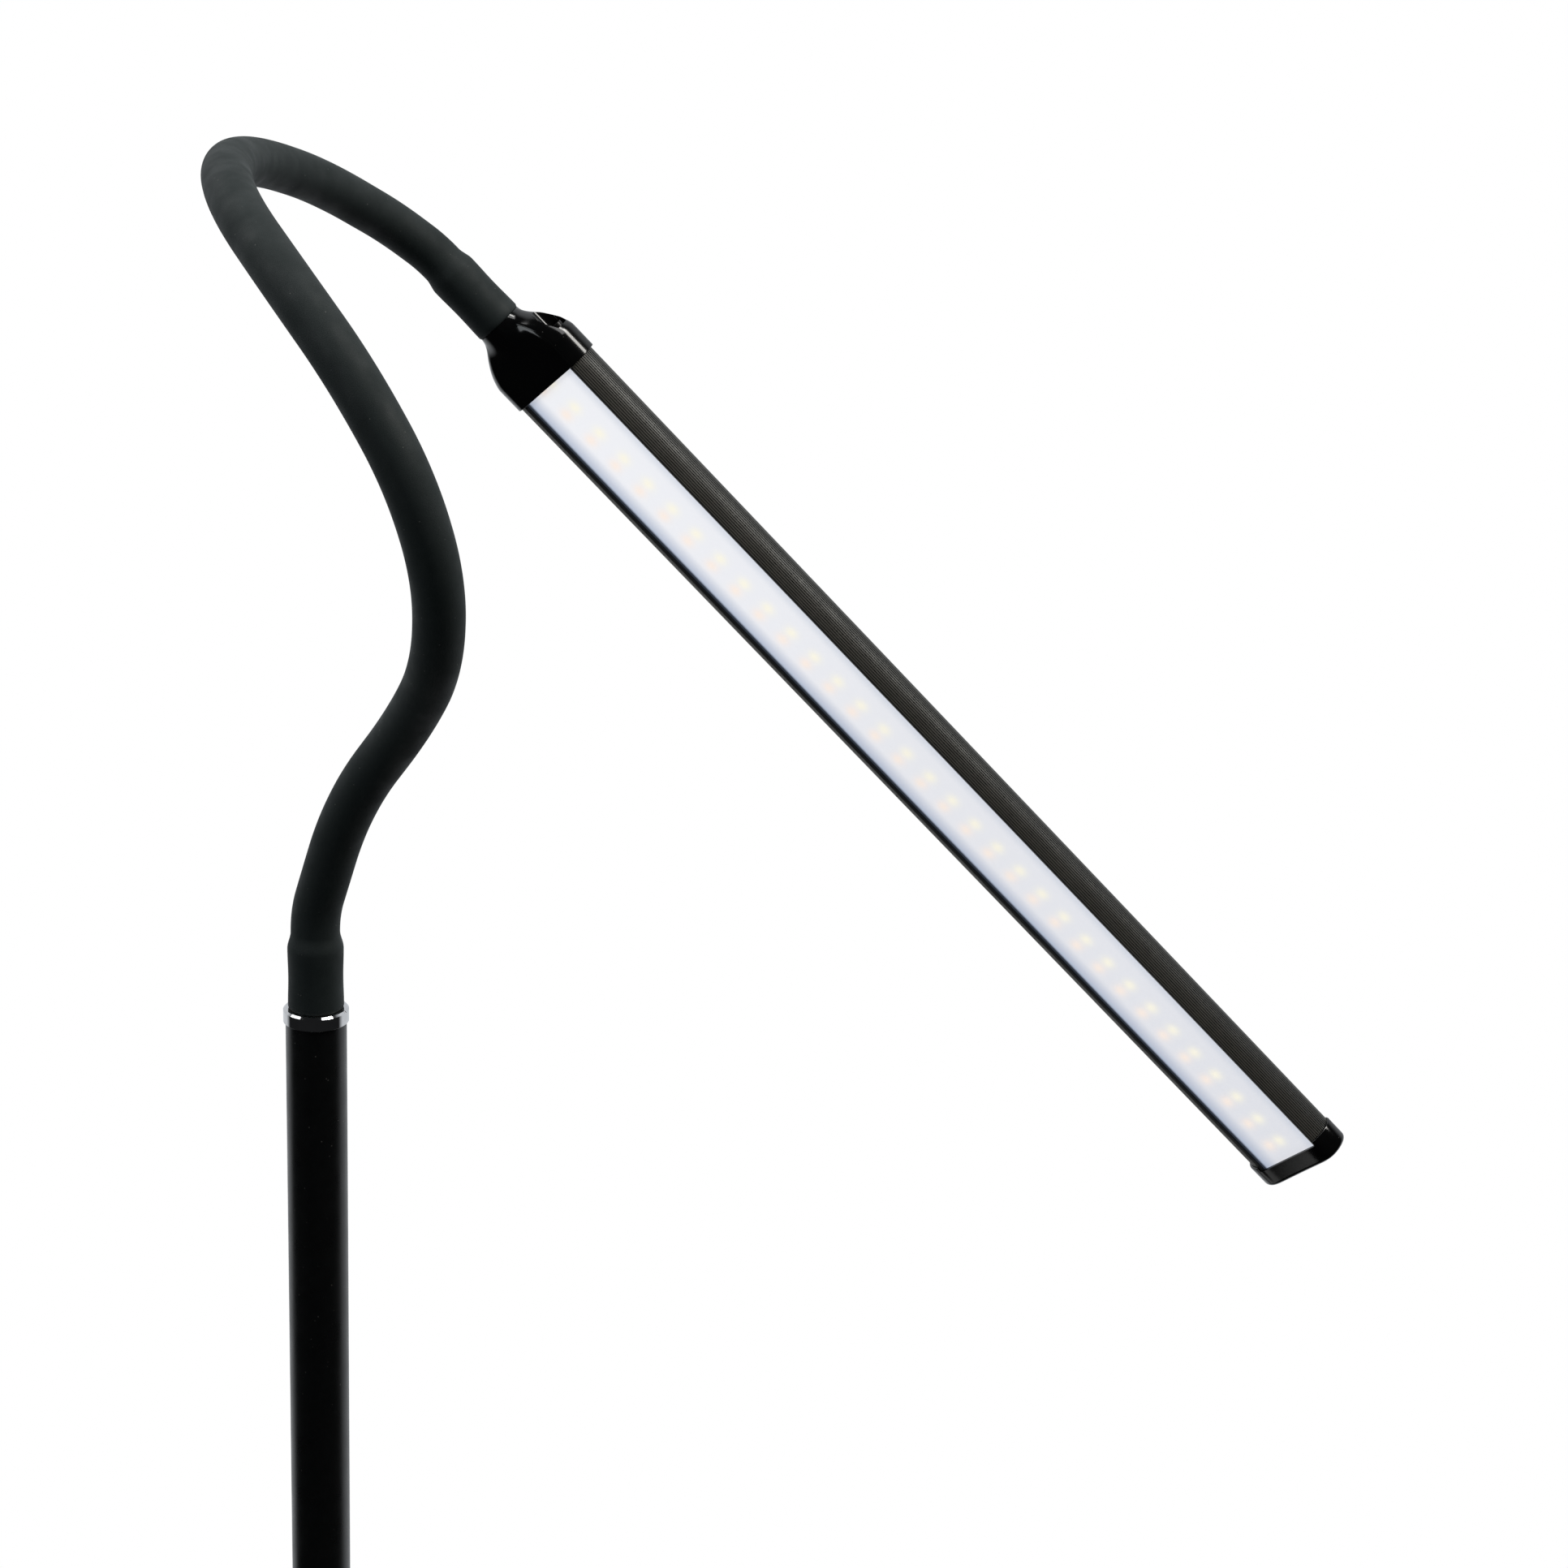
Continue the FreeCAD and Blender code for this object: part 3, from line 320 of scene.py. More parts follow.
# %% Finishes by slot
MATERIALS = {
    "black_paint": surface("black_paint", (0.0035, 0.0037, 0.0038), (0.0050, 0.0053, 0.0055), 0.30,
                           bump=0.10, bump_scale=2600, specular=0.35, specks=0.4),
    "chrome": surface("chrome", (0.60, 0.60, 0.61), (0.68, 0.68, 0.69), 0.07, metallic=1.0, bump=0.02),
    "cast_iron": surface("cast_iron", (0.035, 0.034, 0.033), (0.07, 0.066, 0.062), 0.7, metallic=0.6,
                         bump=0.6, bump_scale=500),
    "zinc_steel": surface("zinc_steel", (0.42, 0.41, 0.38), (0.55, 0.54, 0.50), 0.3, metallic=1.0,
                          stretch=(1, 1, 0.1), bump=0.1),
    "core_steel": surface("core_steel", (0.26, 0.25, 0.24), (0.38, 0.37, 0.36), 0.35, metallic=1.0, bump=0.2),
    "sleeve_rubber": surface("sleeve_rubber", (0.0125, 0.0175, 0.0175), (0.0150, 0.0205, 0.0205), 0.68,
                             bump=0.25, bump_scale=3200, specular=0.22, specks=0.3),
    "pad_rubber": surface("pad_rubber", (0.012, 0.012, 0.012), (0.022, 0.022, 0.022), 0.8, bump=0.5),
    "cable_jacket": surface("cable_jacket", (0.02, 0.02, 0.02), (0.03, 0.03, 0.03), 0.5, bump=0.1),
    "black_plastic": surface("black_plastic", (0.010, 0.010, 0.011), (0.015, 0.015, 0.016), 0.42, bump=0.3,
                             bump_scale=4000),
    "gloss_black": surface("gloss_black", (0.0016, 0.0017, 0.0018), (0.0024, 0.0025, 0.0026), 0.13,
                           specular=0.5, specks=0.2),
    "black_aluminium": surface("black_aluminium", (0.046, 0.047, 0.045), (0.060, 0.060, 0.056), 0.46,
                               metallic=0.4),
    "black_screw": surface("black_screw", (0.02, 0.02, 0.02), (0.035, 0.035, 0.035), 0.35, metallic=0.9,
                           bump=0.1),
    "circuit_board": surface("circuit_board", (0.62, 0.62, 0.60), (0.72, 0.72, 0.70), 0.4, bump=0.05),
    "cool_led": surface("cool_led", (0.75, 0.62, 0.16), (0.85, 0.72, 0.22), 0.35, bump=0.05),
    "warm_led": surface("warm_led", (0.80, 0.36, 0.14), (0.88, 0.44, 0.20), 0.35, bump=0.05),
}
print("finishes:", sorted(MATERIALS))

# %% [markdown]
# ### The diffuser
#
# An opal strip with the pairs of LED chips showing faintly through it. The chips could be real geometry
# under a translucent sheet, which is slow and noisy to render. Here the strip's own colour carries two
# soft rows of spots at the pitch of the chips, with the same spacing and offset as the chips on the
# board.


# %% Diffuser finish
SPOT_ALONG, SPOT_ACROSS, SPOT_STRENGTH = 3.0, 2.5, 0.95
NEAR_WHITE, FAR_WHITE = (0.90, 0.905, 0.94), (0.77, 0.78, 0.83)
# Painted shade: bluish colours for the strip's sides under the lips, and a dark one by the left lip's wall.
LEFT_SIDE_SHADE, RIGHT_SIDE_SHADE, WALL_SHADE = (0.34, 0.41, 0.56), (0.55, 0.60, 0.70), (0.010, 0.013, 0.020)
# Colours of the chips' spots, and the strength of the painted glow.
COOL_SPOT, WARM_SPOT, PAINTED_GLOW = (1.0, 0.955, 0.80), (1.0, 0.87, 0.78), 0.80


def along_axis(tree, coords, origin, axis):
    """Distance of a point from an origin along an axis, in millimetres."""
    offset = tree.nodes.new("ShaderNodeVectorMath")
    offset.operation = "SUBTRACT"
    offset.inputs[1].default_value = tuple(np.asarray(origin) * MM)
    tree.links.new(coords, offset.inputs[0])
    product = tree.nodes.new("ShaderNodeVectorMath")
    product.operation = "DOT_PRODUCT"
    product.inputs[1].default_value = tuple(axis)
    tree.links.new(offset.outputs[0], product.inputs[0])
    return math_node(tree, "MULTIPLY", product.outputs["Value"], 1000.0)


def sum_of_squares(tree, first, second):
    """First times itself plus second times itself."""
    return math_node(tree, "ADD", math_node(tree, "MULTIPLY", first, first),
                     math_node(tree, "MULTIPLY", second, second))


def spot_row(tree, along, across, row):
    """Soft spots on one row at the pitch of the chips: a strength times exp(-distance squared)."""
    cell = math_node(tree, "DIVIDE", math_node(tree, "SUBTRACT", along, LED_FIRST), LED_PITCH)
    nearest = math_node(tree, "ROUND", cell)
    off = math_node(tree, "MULTIPLY", math_node(tree, "SUBTRACT", cell, nearest), LED_PITCH / SPOT_ALONG)
    side = math_node(tree, "DIVIDE", math_node(tree, "SUBTRACT", across, row), SPOT_ACROSS)
    bell = math_node(tree, "EXPONENT", math_node(tree, "MULTIPLY", sum_of_squares(tree, off, side), -1.0))
    return math_node(tree, "MULTIPLY", bell, SPOT_STRENGTH)


def diffuser_finish():
    """Opal plastic: paler near the neck, painted bluish shade along both sides, and the two rows of spots.
    Its colour is also given out as a painted glow.
    """
    material, tree, shader = new_material("opal_plastic")
    place = tree.nodes.new("ShaderNodeTexCoord").outputs["Object"]
    along = along_axis(tree, place, SLEEVE_END, ALONG)
    across = along_axis(tree, place, SLEEVE_END, ACROSS)
    from_start = math_node(tree, "SUBTRACT", along, LIGHT_START)
    ramp = math_node(tree, "DIVIDE", from_start, LIGHT_LENGTH, clamp=True)
    colour = mix_colours(tree, ramp, NEAR_WHITE, FAR_WHITE)
    # Painted bluish shade along both sides of the strip, where the lips shade it.
    edge = spread(tree, across, 0.95, 0.0, -OPENING_HALF, -OPENING_HALF + 7.5)
    colour = mix_colours(tree, edge, colour, LEFT_SIDE_SHADE)
    edge = spread(tree, across, 0.0, 0.7, OPENING_HALF - 5.0, OPENING_HALF)
    colour = mix_colours(tree, edge, colour, RIGHT_SIDE_SHADE)
    shade = spread(tree, across, 0.95, 0.0, -OPENING_HALF + 0.7, -OPENING_HALF + 1.7)
    colour = mix_colours(tree, shade, colour, WALL_SHADE)
    for row, spot_colour in ((LED_ROW_OFFSET, COOL_SPOT), (-LED_ROW_OFFSET, WARM_SPOT)):
        spots = spot_row(tree, along, across, LED_ROW_SHIFT + row)
        colour = mix_colours(tree, spots, colour, spot_colour)
    tree.links.new(colour, shader.inputs["Base Color"])
    # The whole colour is also given out as a painted glow, standing in for the light that falls on the strip.
    tree.links.new(colour, shader.inputs["Emission Color"])
    shader.inputs["Emission Strength"].default_value = PAINTED_GLOW
    shader.inputs["Roughness"].default_value = 0.38
    return material


MATERIALS["opal_plastic"] = diffuser_finish()
print("spots: pitch mm", LED_PITCH, "rows mm", LED_ROW_SHIFT + LED_ROW_OFFSET, LED_ROW_SHIFT - LED_ROW_OFFSET)

# %% [markdown]
# ### The ribbed housing
#
# An anodised extrusion with V-shaped grooves down each side. The grooves are in the solid, but soft light
# fills them, so their shade is painted into the colour: a point's depth under the circle of the side says
# how far down a groove it is, and darkens it. The crests near the lip get a painted highlight, the lip
# itself a thin painted highlight along its edge, and the wall inside the other lip painted shade.


# %% Housing finish
# Painted shade for the bottoms of the grooves, and a painted highlight for the crests near the lip.
GROOVE_SHADE, CREST_HIGHLIGHT = (0.003, 0.003, 0.003), (0.15, 0.14, 0.12)
# A painted highlight along one lip's edge, and painted shade on the wall inside the other lip.
LIP_HIGHLIGHT, LIP_WALL_SHADE = (0.50, 0.48, 0.42), (0.004, 0.005, 0.007)
LIP_TOP = AXIS_TO_LIGHT + LIP_HEIGHT


def paint_rib_shade_and_highlight(material):
    """Painted shade in the grooves, by radius minus distance from the side's centre, and a painted
    highlight on the crests towards the lip.
    """
    tree = material.node_tree
    shader = tree.nodes["Principled BSDF"]
    place = tree.nodes.new("ShaderNodeTexCoord").outputs["Object"]
    (centre_x, centre_y), radius = side_circle()
    out = math_node(tree, "ABSOLUTE", along_axis(tree, place, SLEEVE_END, ACROSS))
    height = along_axis(tree, place, SLEEVE_END, LIGHT)
    out = math_node(tree, "SUBTRACT", out, float(centre_x))
    rise = math_node(tree, "SUBTRACT", height, float(centre_y + AXIS_TO_LIGHT))
    distance = math_node(tree, "SQRT", sum_of_squares(tree, out, rise))
    depth = math_node(tree, "SUBTRACT", float(radius), distance)
    side = spread(tree, height, 1.0, 0.0, LIP_TOP - 0.1, LIP_TOP)
    wall = spread(tree, depth, 1.0, 0.0, 0.6, 0.7)
    # Painted highlight on the crests, stronger towards the lip.
    crest_highlight_share = spread(tree, height, 0.0, 0.75, AXIS_TO_LIGHT - 4.5, LIP_TOP)
    colour = shader.inputs["Base Color"].links[0].from_socket
    colour = mix_colours(tree, math_node(tree, "MULTIPLY", crest_highlight_share, side), colour, CREST_HIGHLIGHT)
    # Painted shade, darker the deeper a point lies in a groove.
    groove_shade = math_node(tree, "MULTIPLY", spread(tree, depth, 0.0, 1.0, 0.02, 0.14), wall)
    colour = mix_colours(tree, math_node(tree, "MULTIPLY", groove_shade, side), colour, GROOVE_SHADE)
    tree.links.new(colour, shader.inputs["Base Color"])


def paint_lip_highlight_and_shade(material):
    """A painted highlight along the edge of one lip, and painted shade on the wall inside the other."""
    tree = material.node_tree
    shader = tree.nodes["Principled BSDF"]
    place = tree.nodes.new("ShaderNodeTexCoord").outputs["Object"]
    across = along_axis(tree, place, SLEEVE_END, ACROSS)
    height = along_axis(tree, place, SLEEVE_END, LIGHT)
    # Painted highlight along the inner edge of the right lip's top.
    inner = spread(tree, across, 1.0, 0.0, OPENING_HALF + LIP_EDGE * 0.7, OPENING_HALF + LIP_EDGE)
    raised = spread(tree, height, 0.0, 1.0, LIP_TOP - 0.3, LIP_TOP - 0.1)
    right = spread(tree, across, 0.0, 1.0, 0.0, 1.0)
    edge = math_node(tree, "MULTIPLY", math_node(tree, "MULTIPLY", inner, raised), right)
    # Painted shade on the wall inside the left lip.
    wall = spread(tree, across, 1.0, 0.0, -OPENING_HALF - 0.1, -OPENING_HALF + 0.3)
    sunk = spread(tree, across, 0.0, 1.0, -OPENING_HALF - 0.3, -OPENING_HALF - 0.1)
    colour = shader.inputs["Base Color"].links[0].from_socket
    colour = mix_colours(tree, math_node(tree, "MULTIPLY", wall, sunk), colour, LIP_WALL_SHADE)
    colour = mix_colours(tree, edge, colour, LIP_HIGHLIGHT)
    tree.links.new(colour, shader.inputs["Base Color"])


paint_rib_shade_and_highlight(MATERIALS["black_aluminium"])
paint_lip_highlight_and_shade(MATERIALS["black_aluminium"])
print("housing side: radius mm", round(float(side_circle()[1]), 2))

# %% [markdown]
# ### A finish for every part
#
# Each imported part says which slot it belongs to, and each slot has one finish. A new piece gets its
# finish by the same function.

# %% Dress the parts
SLOT_OF = {part["node"]: part["material_slot"] for part in frame["record"]["subparts"]}


def dress(obj, slot):
    """Gives a piece one finish all over."""
    obj.data.materials.clear()
    obj.data.materials.append(MATERIALS[slot])


for node, obj in NODES.items():
    dress(obj, SLOT_OF[node])
print("dressed nodes:", len(NODES))

# %% [markdown]
# ## The gooseneck's sleeve
#
# One rubber tube over a wound core. It could be a single swept curve, but the lamp has a joint at every
# bend, so each length of sleeve is its own swept tube around one bend, reaching halfway to the bends on
# either side, or to a boot. Neighbours end square on each other with the same ring of points, so no seam
# shows.


# %% Route of the gooseneck
def bend_arc(before, corner, after, setback):
    """The arc that rounds one corner: its radius is the setback divided by the tangent of half the turn."""
    first, second = unit(corner - before), unit(after - corner)
    turn = math.acos(float(np.clip(first @ second, -1, 1)))
    axis = unit(np.cross(first, second))
    radius = setback / math.tan(turn / 2)
    start = corner - first * setback
    return {"start": start, "end": corner + second * setback, "turn": turn, "axis": axis, "first": first,
            "centre": start + np.cross(axis, first) * radius}


def rotate(vectors, axis, angles):
    """Vectors turned about an axis by angles: v cos + (axis x v) sin + axis (axis . v) (1 - cos)."""
    vectors, axis, angles = np.asarray(vectors, float), np.asarray(axis), np.asarray(angles)[..., None]
    return (vectors * np.cos(angles) + np.cross(axis, vectors) * np.sin(angles)
            + axis * (vectors @ axis)[..., None] * (1 - np.cos(angles)))


ARC_SHARE = 0.98
sleeve_start = np.array([0, 0, RING_TOP + POLE_BOOT_LENGTH + BOOT_TAPER])
sleeve_finish = SLEEVE_END - ALONG * (HEAD_BOOT_LENGTH + BOOT_TAPER)
stations = np.vstack([sleeve_start, corners, sleeve_finish])
runs = np.linalg.norm(np.diff(stations, axis=0), axis=1) / 2
runs[0] *= 2
runs[-1] *= 2
arcs = [bend_arc(stations[i], corners[i], stations[i + 2], ARC_SHARE * min(runs[i], runs[i + 1]))
        for i in range(len(corners))]
joins = np.vstack([sleeve_start, (corners[:-1] + corners[1:]) / 2, sleeve_finish])
print("bends:", len(arcs), "turns in degrees:", [round(math.degrees(a["turn"]), 1) for a in arcs])

# %% [markdown]
# Each tube carries its ring of points along the arc with a short straight run at both ends. The direction
# of the first point of the ring is handed on from one tube to the next, so the rings meet point on point.

# %% Sleeve
AROUND, ARC_STEPS, RUN_STEPS = 64, 25, 3
turn_now = np.linspace(0, 2 * np.pi, AROUND, endpoint=False)
side = np.array([1.0, 0, 0])
sleeve_faces = 0
for i, bend in enumerate(arcs):
    steps = np.linspace(0, bend["turn"], ARC_STEPS)
    arm = bend["start"] - bend["centre"]
    line = bend["centre"] + rotate(np.tile(arm, (ARC_STEPS, 1)), bend["axis"], steps)
    heads = rotate(np.tile(bend["first"], (ARC_STEPS, 1)), bend["axis"], steps)
    sides = rotate(np.tile(side, (ARC_STEPS, 1)), bend["axis"], steps)
    lead = np.linspace(0, 1, RUN_STEPS + 1)[:-1, None]
    before = joins[i] + (bend["start"] - joins[i]) * lead
    behind = bend["end"] + (joins[i + 1] - bend["end"]) * (1 - lead[::-1])
    centre = np.vstack([before, line, behind])
    heading_now = np.pad(heads, ((RUN_STEPS, RUN_STEPS), (0, 0)), mode="edge")
    side_now = np.pad(sides, ((RUN_STEPS, RUN_STEPS), (0, 0)), mode="edge")
    other_now = np.cross(heading_now, side_now)
    ring = (np.cos(turn_now)[None, :, None] * side_now[:, None, :]
            + np.sin(turn_now)[None, :, None] * other_now[:, None, :])
    tube = grid_object("sleeve_surface_%02d" % (i + 1), centre[:, None, :] + SLEEVE_RADIUS * ring)
    dress(tube, "sleeve_rubber")
    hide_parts("sleeve_%02d" % (i + 1))
    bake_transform(tube)
    side = sides[-1]
    sleeve_faces += len(tube.data.polygons)
print("sleeve lengths:", len(arcs), "faces:", sleeve_faces, "length mm:",
      round(float(np.linalg.norm(np.diff(joins, axis=0), axis=1).sum()), 1))

# %% [markdown]
# ## The two boots
#
# Where the sleeve is stretched over a ferrule it swells, and its cut end is slightly rounded. A turned
# profile is enough, because both boots are round and straight. Straight lines between corners would show
# as hard rings, so the waist follows a squared sine and the shoulder a cosine, which start and end level.


# %% Boots
BOOT_ROUND, BOOT_SLACK, BOOT_WAIST, SHOULDER_START = 1.0, 0.05, 0.22, 1.5


def boot_profile(radius, length):
    """Distance from the square end, and radius: full - waist * sin squared, then a cosine to the sleeve."""
    full = radius - BOOT_SLACK
    body_start, body_end = BOOT_ROUND, length - SHOULDER_START
    body = np.linspace(body_start, body_end, 17)
    waist = full - BOOT_WAIST * np.sin(np.pi * (body - body_start) / (body_end - body_start)) ** 2
    taper = np.linspace(body_end, length + BOOT_TAPER, 17)[1:]
    share = (1 - np.cos(np.pi * (taper - body_end) / (BOOT_TAPER + SHOULDER_START))) / 2
    fall = full + (SLEEVE_RADIUS - full) * share
    end = rounded([(0.15, radius - 2.6), (0.0, radius - 0.5), (body_start, full)], 0.5)
    return end[:-1] + list(zip(body, waist)) + list(zip(taper, fall))


pole_boot = lathe("pole_boot_surface", boot_profile(POLE_BOOT_RADIUS, POLE_BOOT_LENGTH), (0, 0, RING_TOP),
                  (0, 0, 1), "stand", "pole_boot")
head_boot = lathe("head_boot_surface", boot_profile(HEAD_BOOT_RADIUS, HEAD_BOOT_LENGTH), SLEEVE_END, -ALONG,
                  "head", "head_boot")
for boot in (pole_boot, head_boot):
    dress(boot, "sleeve_rubber")
print("boots:", [len(b.data.polygons) for b in (pole_boot, head_boot)])

# %% [markdown]
# ## The chrome ring
#
# A turned ring between the pole and the gooseneck. The solid has one chamfer, on top; this one also
# breaks its lower edge a little, as polishing does, so that edge can catch some light.

# %% Chrome ring
RING_RADIUS, RING_BORE, RING_CHAMFER, RING_BREAK = 11.8, 9.85, 0.7, 0.22
ring_height = RING_TOP - POLE_TOP
ring_profile = [(0, RING_BORE), (0, RING_RADIUS - RING_BREAK), (RING_BREAK, RING_RADIUS),
                (ring_height - RING_CHAMFER, RING_RADIUS), (ring_height, RING_RADIUS - RING_CHAMFER),
                (ring_height, RING_BORE), (0, RING_BORE)]
ring = lathe("ring_surface", ring_profile, (0, 0, POLE_TOP), (0, 0, 1), "stand", "chrome_ring", steps=160)
dress(ring, "chrome")
sharpen(ring, 30)
print("ring height mm:", round(ring_height, 2))

# %% [markdown]
# ## The moulded adapter
#
# One glossy moulding carries the bar on the gooseneck: a round neck that swells into a shoe with the
# bar's own section. The real one is injection moulded, so it has no straight lines except along the shoe.
# It is built as one grid whose outline blends from a circle to the bar's section along its length, with
# the two scoops that give a screwdriver its way in cut out afterwards, so their rims stay crisp.


# %% Outline of the bar's section
def section_points(grow, steps=40):
    """Closed outline of the bar's section, grown by a wall: columns are across and towards the light side."""
    centre, radius = side_circle()
    radius = radius + grow
    first = math.asin((LIP_HEIGHT + grow - centre[1]) / radius)
    last = math.asin((SIDE_LOW[1] - centre[1]) / radius)
    angle = np.linspace(first, last, steps)
    side_arc = centre + radius * np.stack([np.cos(angle), np.sin(angle)], axis=1)
    corner, back = BACK_CORNER + grow, -BACK_DEPTH - grow
    angle = np.linspace(0, -np.pi / 2, steps // 2)
    foot = side_arc[-1]
    round_corner = np.array([foot[0] - corner, back + corner]) + corner * np.stack(
        [np.cos(angle), np.sin(angle)], axis=1)
    half = np.vstack([side_arc, round_corner])
    outline = np.vstack([half, (half * [-1, 1])[::-1]])
    return outline + [0, AXIS_TO_LIGHT]


def section_radius(grow, angles, smooth=0):
    """Distance from the gooseneck's axis to the grown outline in each direction, averaged over neighbours."""
    outline = section_points(grow)
    closed = np.vstack([outline, outline[:1]])
    fine = np.concatenate([np.linspace(a, b, 60, endpoint=False) for a, b in zip(closed[:-1], closed[1:])])
    direction = np.arctan2(fine[:, 1], fine[:, 0])
    order = np.argsort(direction)
    reach = np.interp(angles, direction[order], np.hypot(*fine.T)[order], period=2 * np.pi)
    for _ in range(smooth):
        reach = (np.roll(reach, 1) + 2 * reach + np.roll(reach, -1)) / 4
    return reach


def on_head(across, light, along):
    """Points of the bar's own frame in the lamp's: sleeve end + across + light + along, each on its axis."""
    return SLEEVE_END + across[..., None] * ACROSS + light[..., None] * LIGHT + along[..., None] * ALONG


plain_outline = section_points(0.0)
print("outline points:", len(plain_outline), "width mm:", round(float(np.ptp(plain_outline[:, 0])), 2))

# %% [markdown]
# Both mouldings are made in the same way: rows of the grown outline along the bar, closed at the ends,
# and then cut by plain prisms. The cuts could be rows as well, but a round hole doesn't follow the grid
# of the outline.

# %% Mouldings on the bar
SHOE_WALL, FIT = 1.3, 0.2
PORT_ACROSS, PORT_LIGHT = 17.9, -6.8 + AXIS_TO_LIGHT
COLUMNS = 320
directions = np.linspace(-np.pi, np.pi, COLUMNS, endpoint=False)
shoe = section_radius(SHOE_WALL, directions, smooth=6)
inner = section_radius(FIT, directions)


def moulding(name, rows):
    """A closed piece from rows of a level along the bar and a distance from the axis in each direction."""
    points = [on_head(reach * np.cos(directions), reach * np.sin(directions), level + np.zeros(COLUMNS))
              for level, reach in rows]
    return grid_object(name, np.array(points), ends=True)


def prism(name, outline, start, end):
    """A closed cutter along the bar, from an outline of (across, towards the light side) points."""
    across, light = np.array(outline, float).T
    points = [on_head(across, light, level + np.zeros(len(across))) for level in (start, end)]
    return grid_object(name, np.array(points), ends=True)


def port(radius, mirror, start, end, steps=72):
    """A round cutter on the line of one of the bar's two screw ports."""
    angle = np.linspace(0, 2 * np.pi, steps, endpoint=False)
    across, light = mirror * PORT_ACROSS + radius * np.cos(angle), PORT_LIGHT + radius * np.sin(angle)
    return prism("port", np.stack([across, light], axis=1), start, end)


def cut(obj, cutter):
    """Takes a cutter's shape out of a piece and throws the cutter away."""
    change = obj.modifiers.new("cut", "BOOLEAN")
    change.object, change.operation, change.solver = cutter, "DIFFERENCE", "EXACT"
    bpy.context.view_layer.update()
    evaluated = obj.evaluated_get(bpy.context.evaluated_depsgraph_get())
    mesh = bpy.data.meshes.new_from_object(evaluated)
    obj.modifiers.clear()
    obj.data = mesh
    bpy.data.objects.remove(cutter)


def finish_moulding(obj, node, crease):
    """Gives a moulding its finish, its creases and its place on the head."""
    dress(obj, "gloss_black")
    sharpen(obj, crease)
    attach(obj, "head")
    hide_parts(node)
    print(node, "faces:", len(obj.data.polygons))


print("columns:", COLUMNS, "largest reach mm:", round(float(shoe.max()), 2))

# %% [markdown]
# The adapter's outline is the neck's circle times one minus a share, plus the shoe's outline times the
# share. The share rises along the neck by a few measured values, averaged until they flow.

# %% Adapter
NECK_RADIUS, SHOE_LENGTH, SCOOP_RADIUS, SMOOTHINGS = 9.6, 13.0, 4.3, 16
shoe_start = LIGHT_START - SHOE_LENGTH
levels = np.linspace(0, LIGHT_START - 0.3, 110)
share = np.interp(levels, [0, 2, 4.5, 7.5, 11, 14.5, shoe_start, shoe_start + 1.3],
                  [0, 0.055, 0.215, 0.465, 0.695, 0.865, 0.97, 1])
for _ in range(SMOOTHINGS):
    share[1:-1] = (share[:-2] + 2 * share[1:-1] + share[2:]) / 4
outer = NECK_RADIUS * (1 - share)[:, None] + shoe * share[:, None]
rows = [(0.0, np.full(COLUMNS, NECK_RADIUS - 0.3))]
rows += list(zip(levels + 0.02, outer))
rows += [(LIGHT_START - 0.1, shoe - 0.06), (LIGHT_START, shoe - 0.25), (LIGHT_START, inner + 0.15),
         (LIGHT_START - 0.2, inner), (shoe_start + 2.0, inner)]
adapter = moulding("adapter_surface", rows)
scoop_end = HOUSING_START - 2.2
for mirror in (-1, 1):
    cut(adapter, port(SCOOP_RADIUS, mirror, -2.0, scoop_end))
finish_moulding(adapter, "head_adapter", 32)

# %% [markdown]
# ## The end cap
#
# The same moulding at the far end: the bar's section grown by a wall and closed by a rounded nose. Cuts
# make it a cap: the bar's own end, the window over the diffuser, and a recess and a hole for each screw.

# %% End cap
CAP_LENGTH, CAP_SKIRT, CAP_ROUND, CAP_SMOOTH, RECESS_DEPTH = 9.8, 2.2, 2.6, 40, 2.0
SCREW_RADIUS, SCREW_HEAD_RADIUS = 1.45, 2.9
cap_start, cap_end = LIGHT_END - CAP_SKIRT, LIGHT_END + CAP_LENGTH
skirt = section_radius(SHOE_WALL, directions, CAP_SMOOTH)
rows = [(cap_start, skirt - 0.3), (cap_start + 0.12, skirt - 0.08), (cap_start + 0.4, skirt)]
for turn in np.linspace(0, np.pi / 2, 10):
    wall = SHOE_WALL - CAP_ROUND * (1 - math.cos(turn))
    rows.append((cap_end - CAP_ROUND * (1 - math.sin(turn)), section_radius(wall, directions, CAP_SMOOTH)))
cap = moulding("cap_surface", rows)
cut(cap, moulding("hollow", [(cap_start - 1, inner), (HOUSING_END + 0.05, inner)]))
half, low, high = OPENING_HALF + LIP_WIDTH, AXIS_TO_LIGHT - 0.5, AXIS_TO_LIGHT + 5.0
window = [(-half, low), (half, low), (half, high), (-half, high)]
cut(cap, prism("window", window, cap_start - 1, LIGHT_END))
for mirror in (-1, 1):
    cut(cap, port(SCREW_HEAD_RADIUS, mirror, cap_end - RECESS_DEPTH, cap_end + 1))
    cut(cap, port(SCREW_RADIUS, mirror, HOUSING_END - 1, cap_end))
finish_moulding(cap, "end_cap", 50)

# %% [markdown]
# ## Floor, surround and lamps
#
# A small pale floor disc under the lamp, which the main camera doesn't see. A larger floor would be
# simpler, but it would show at the bottom of other views as a hard horizon.

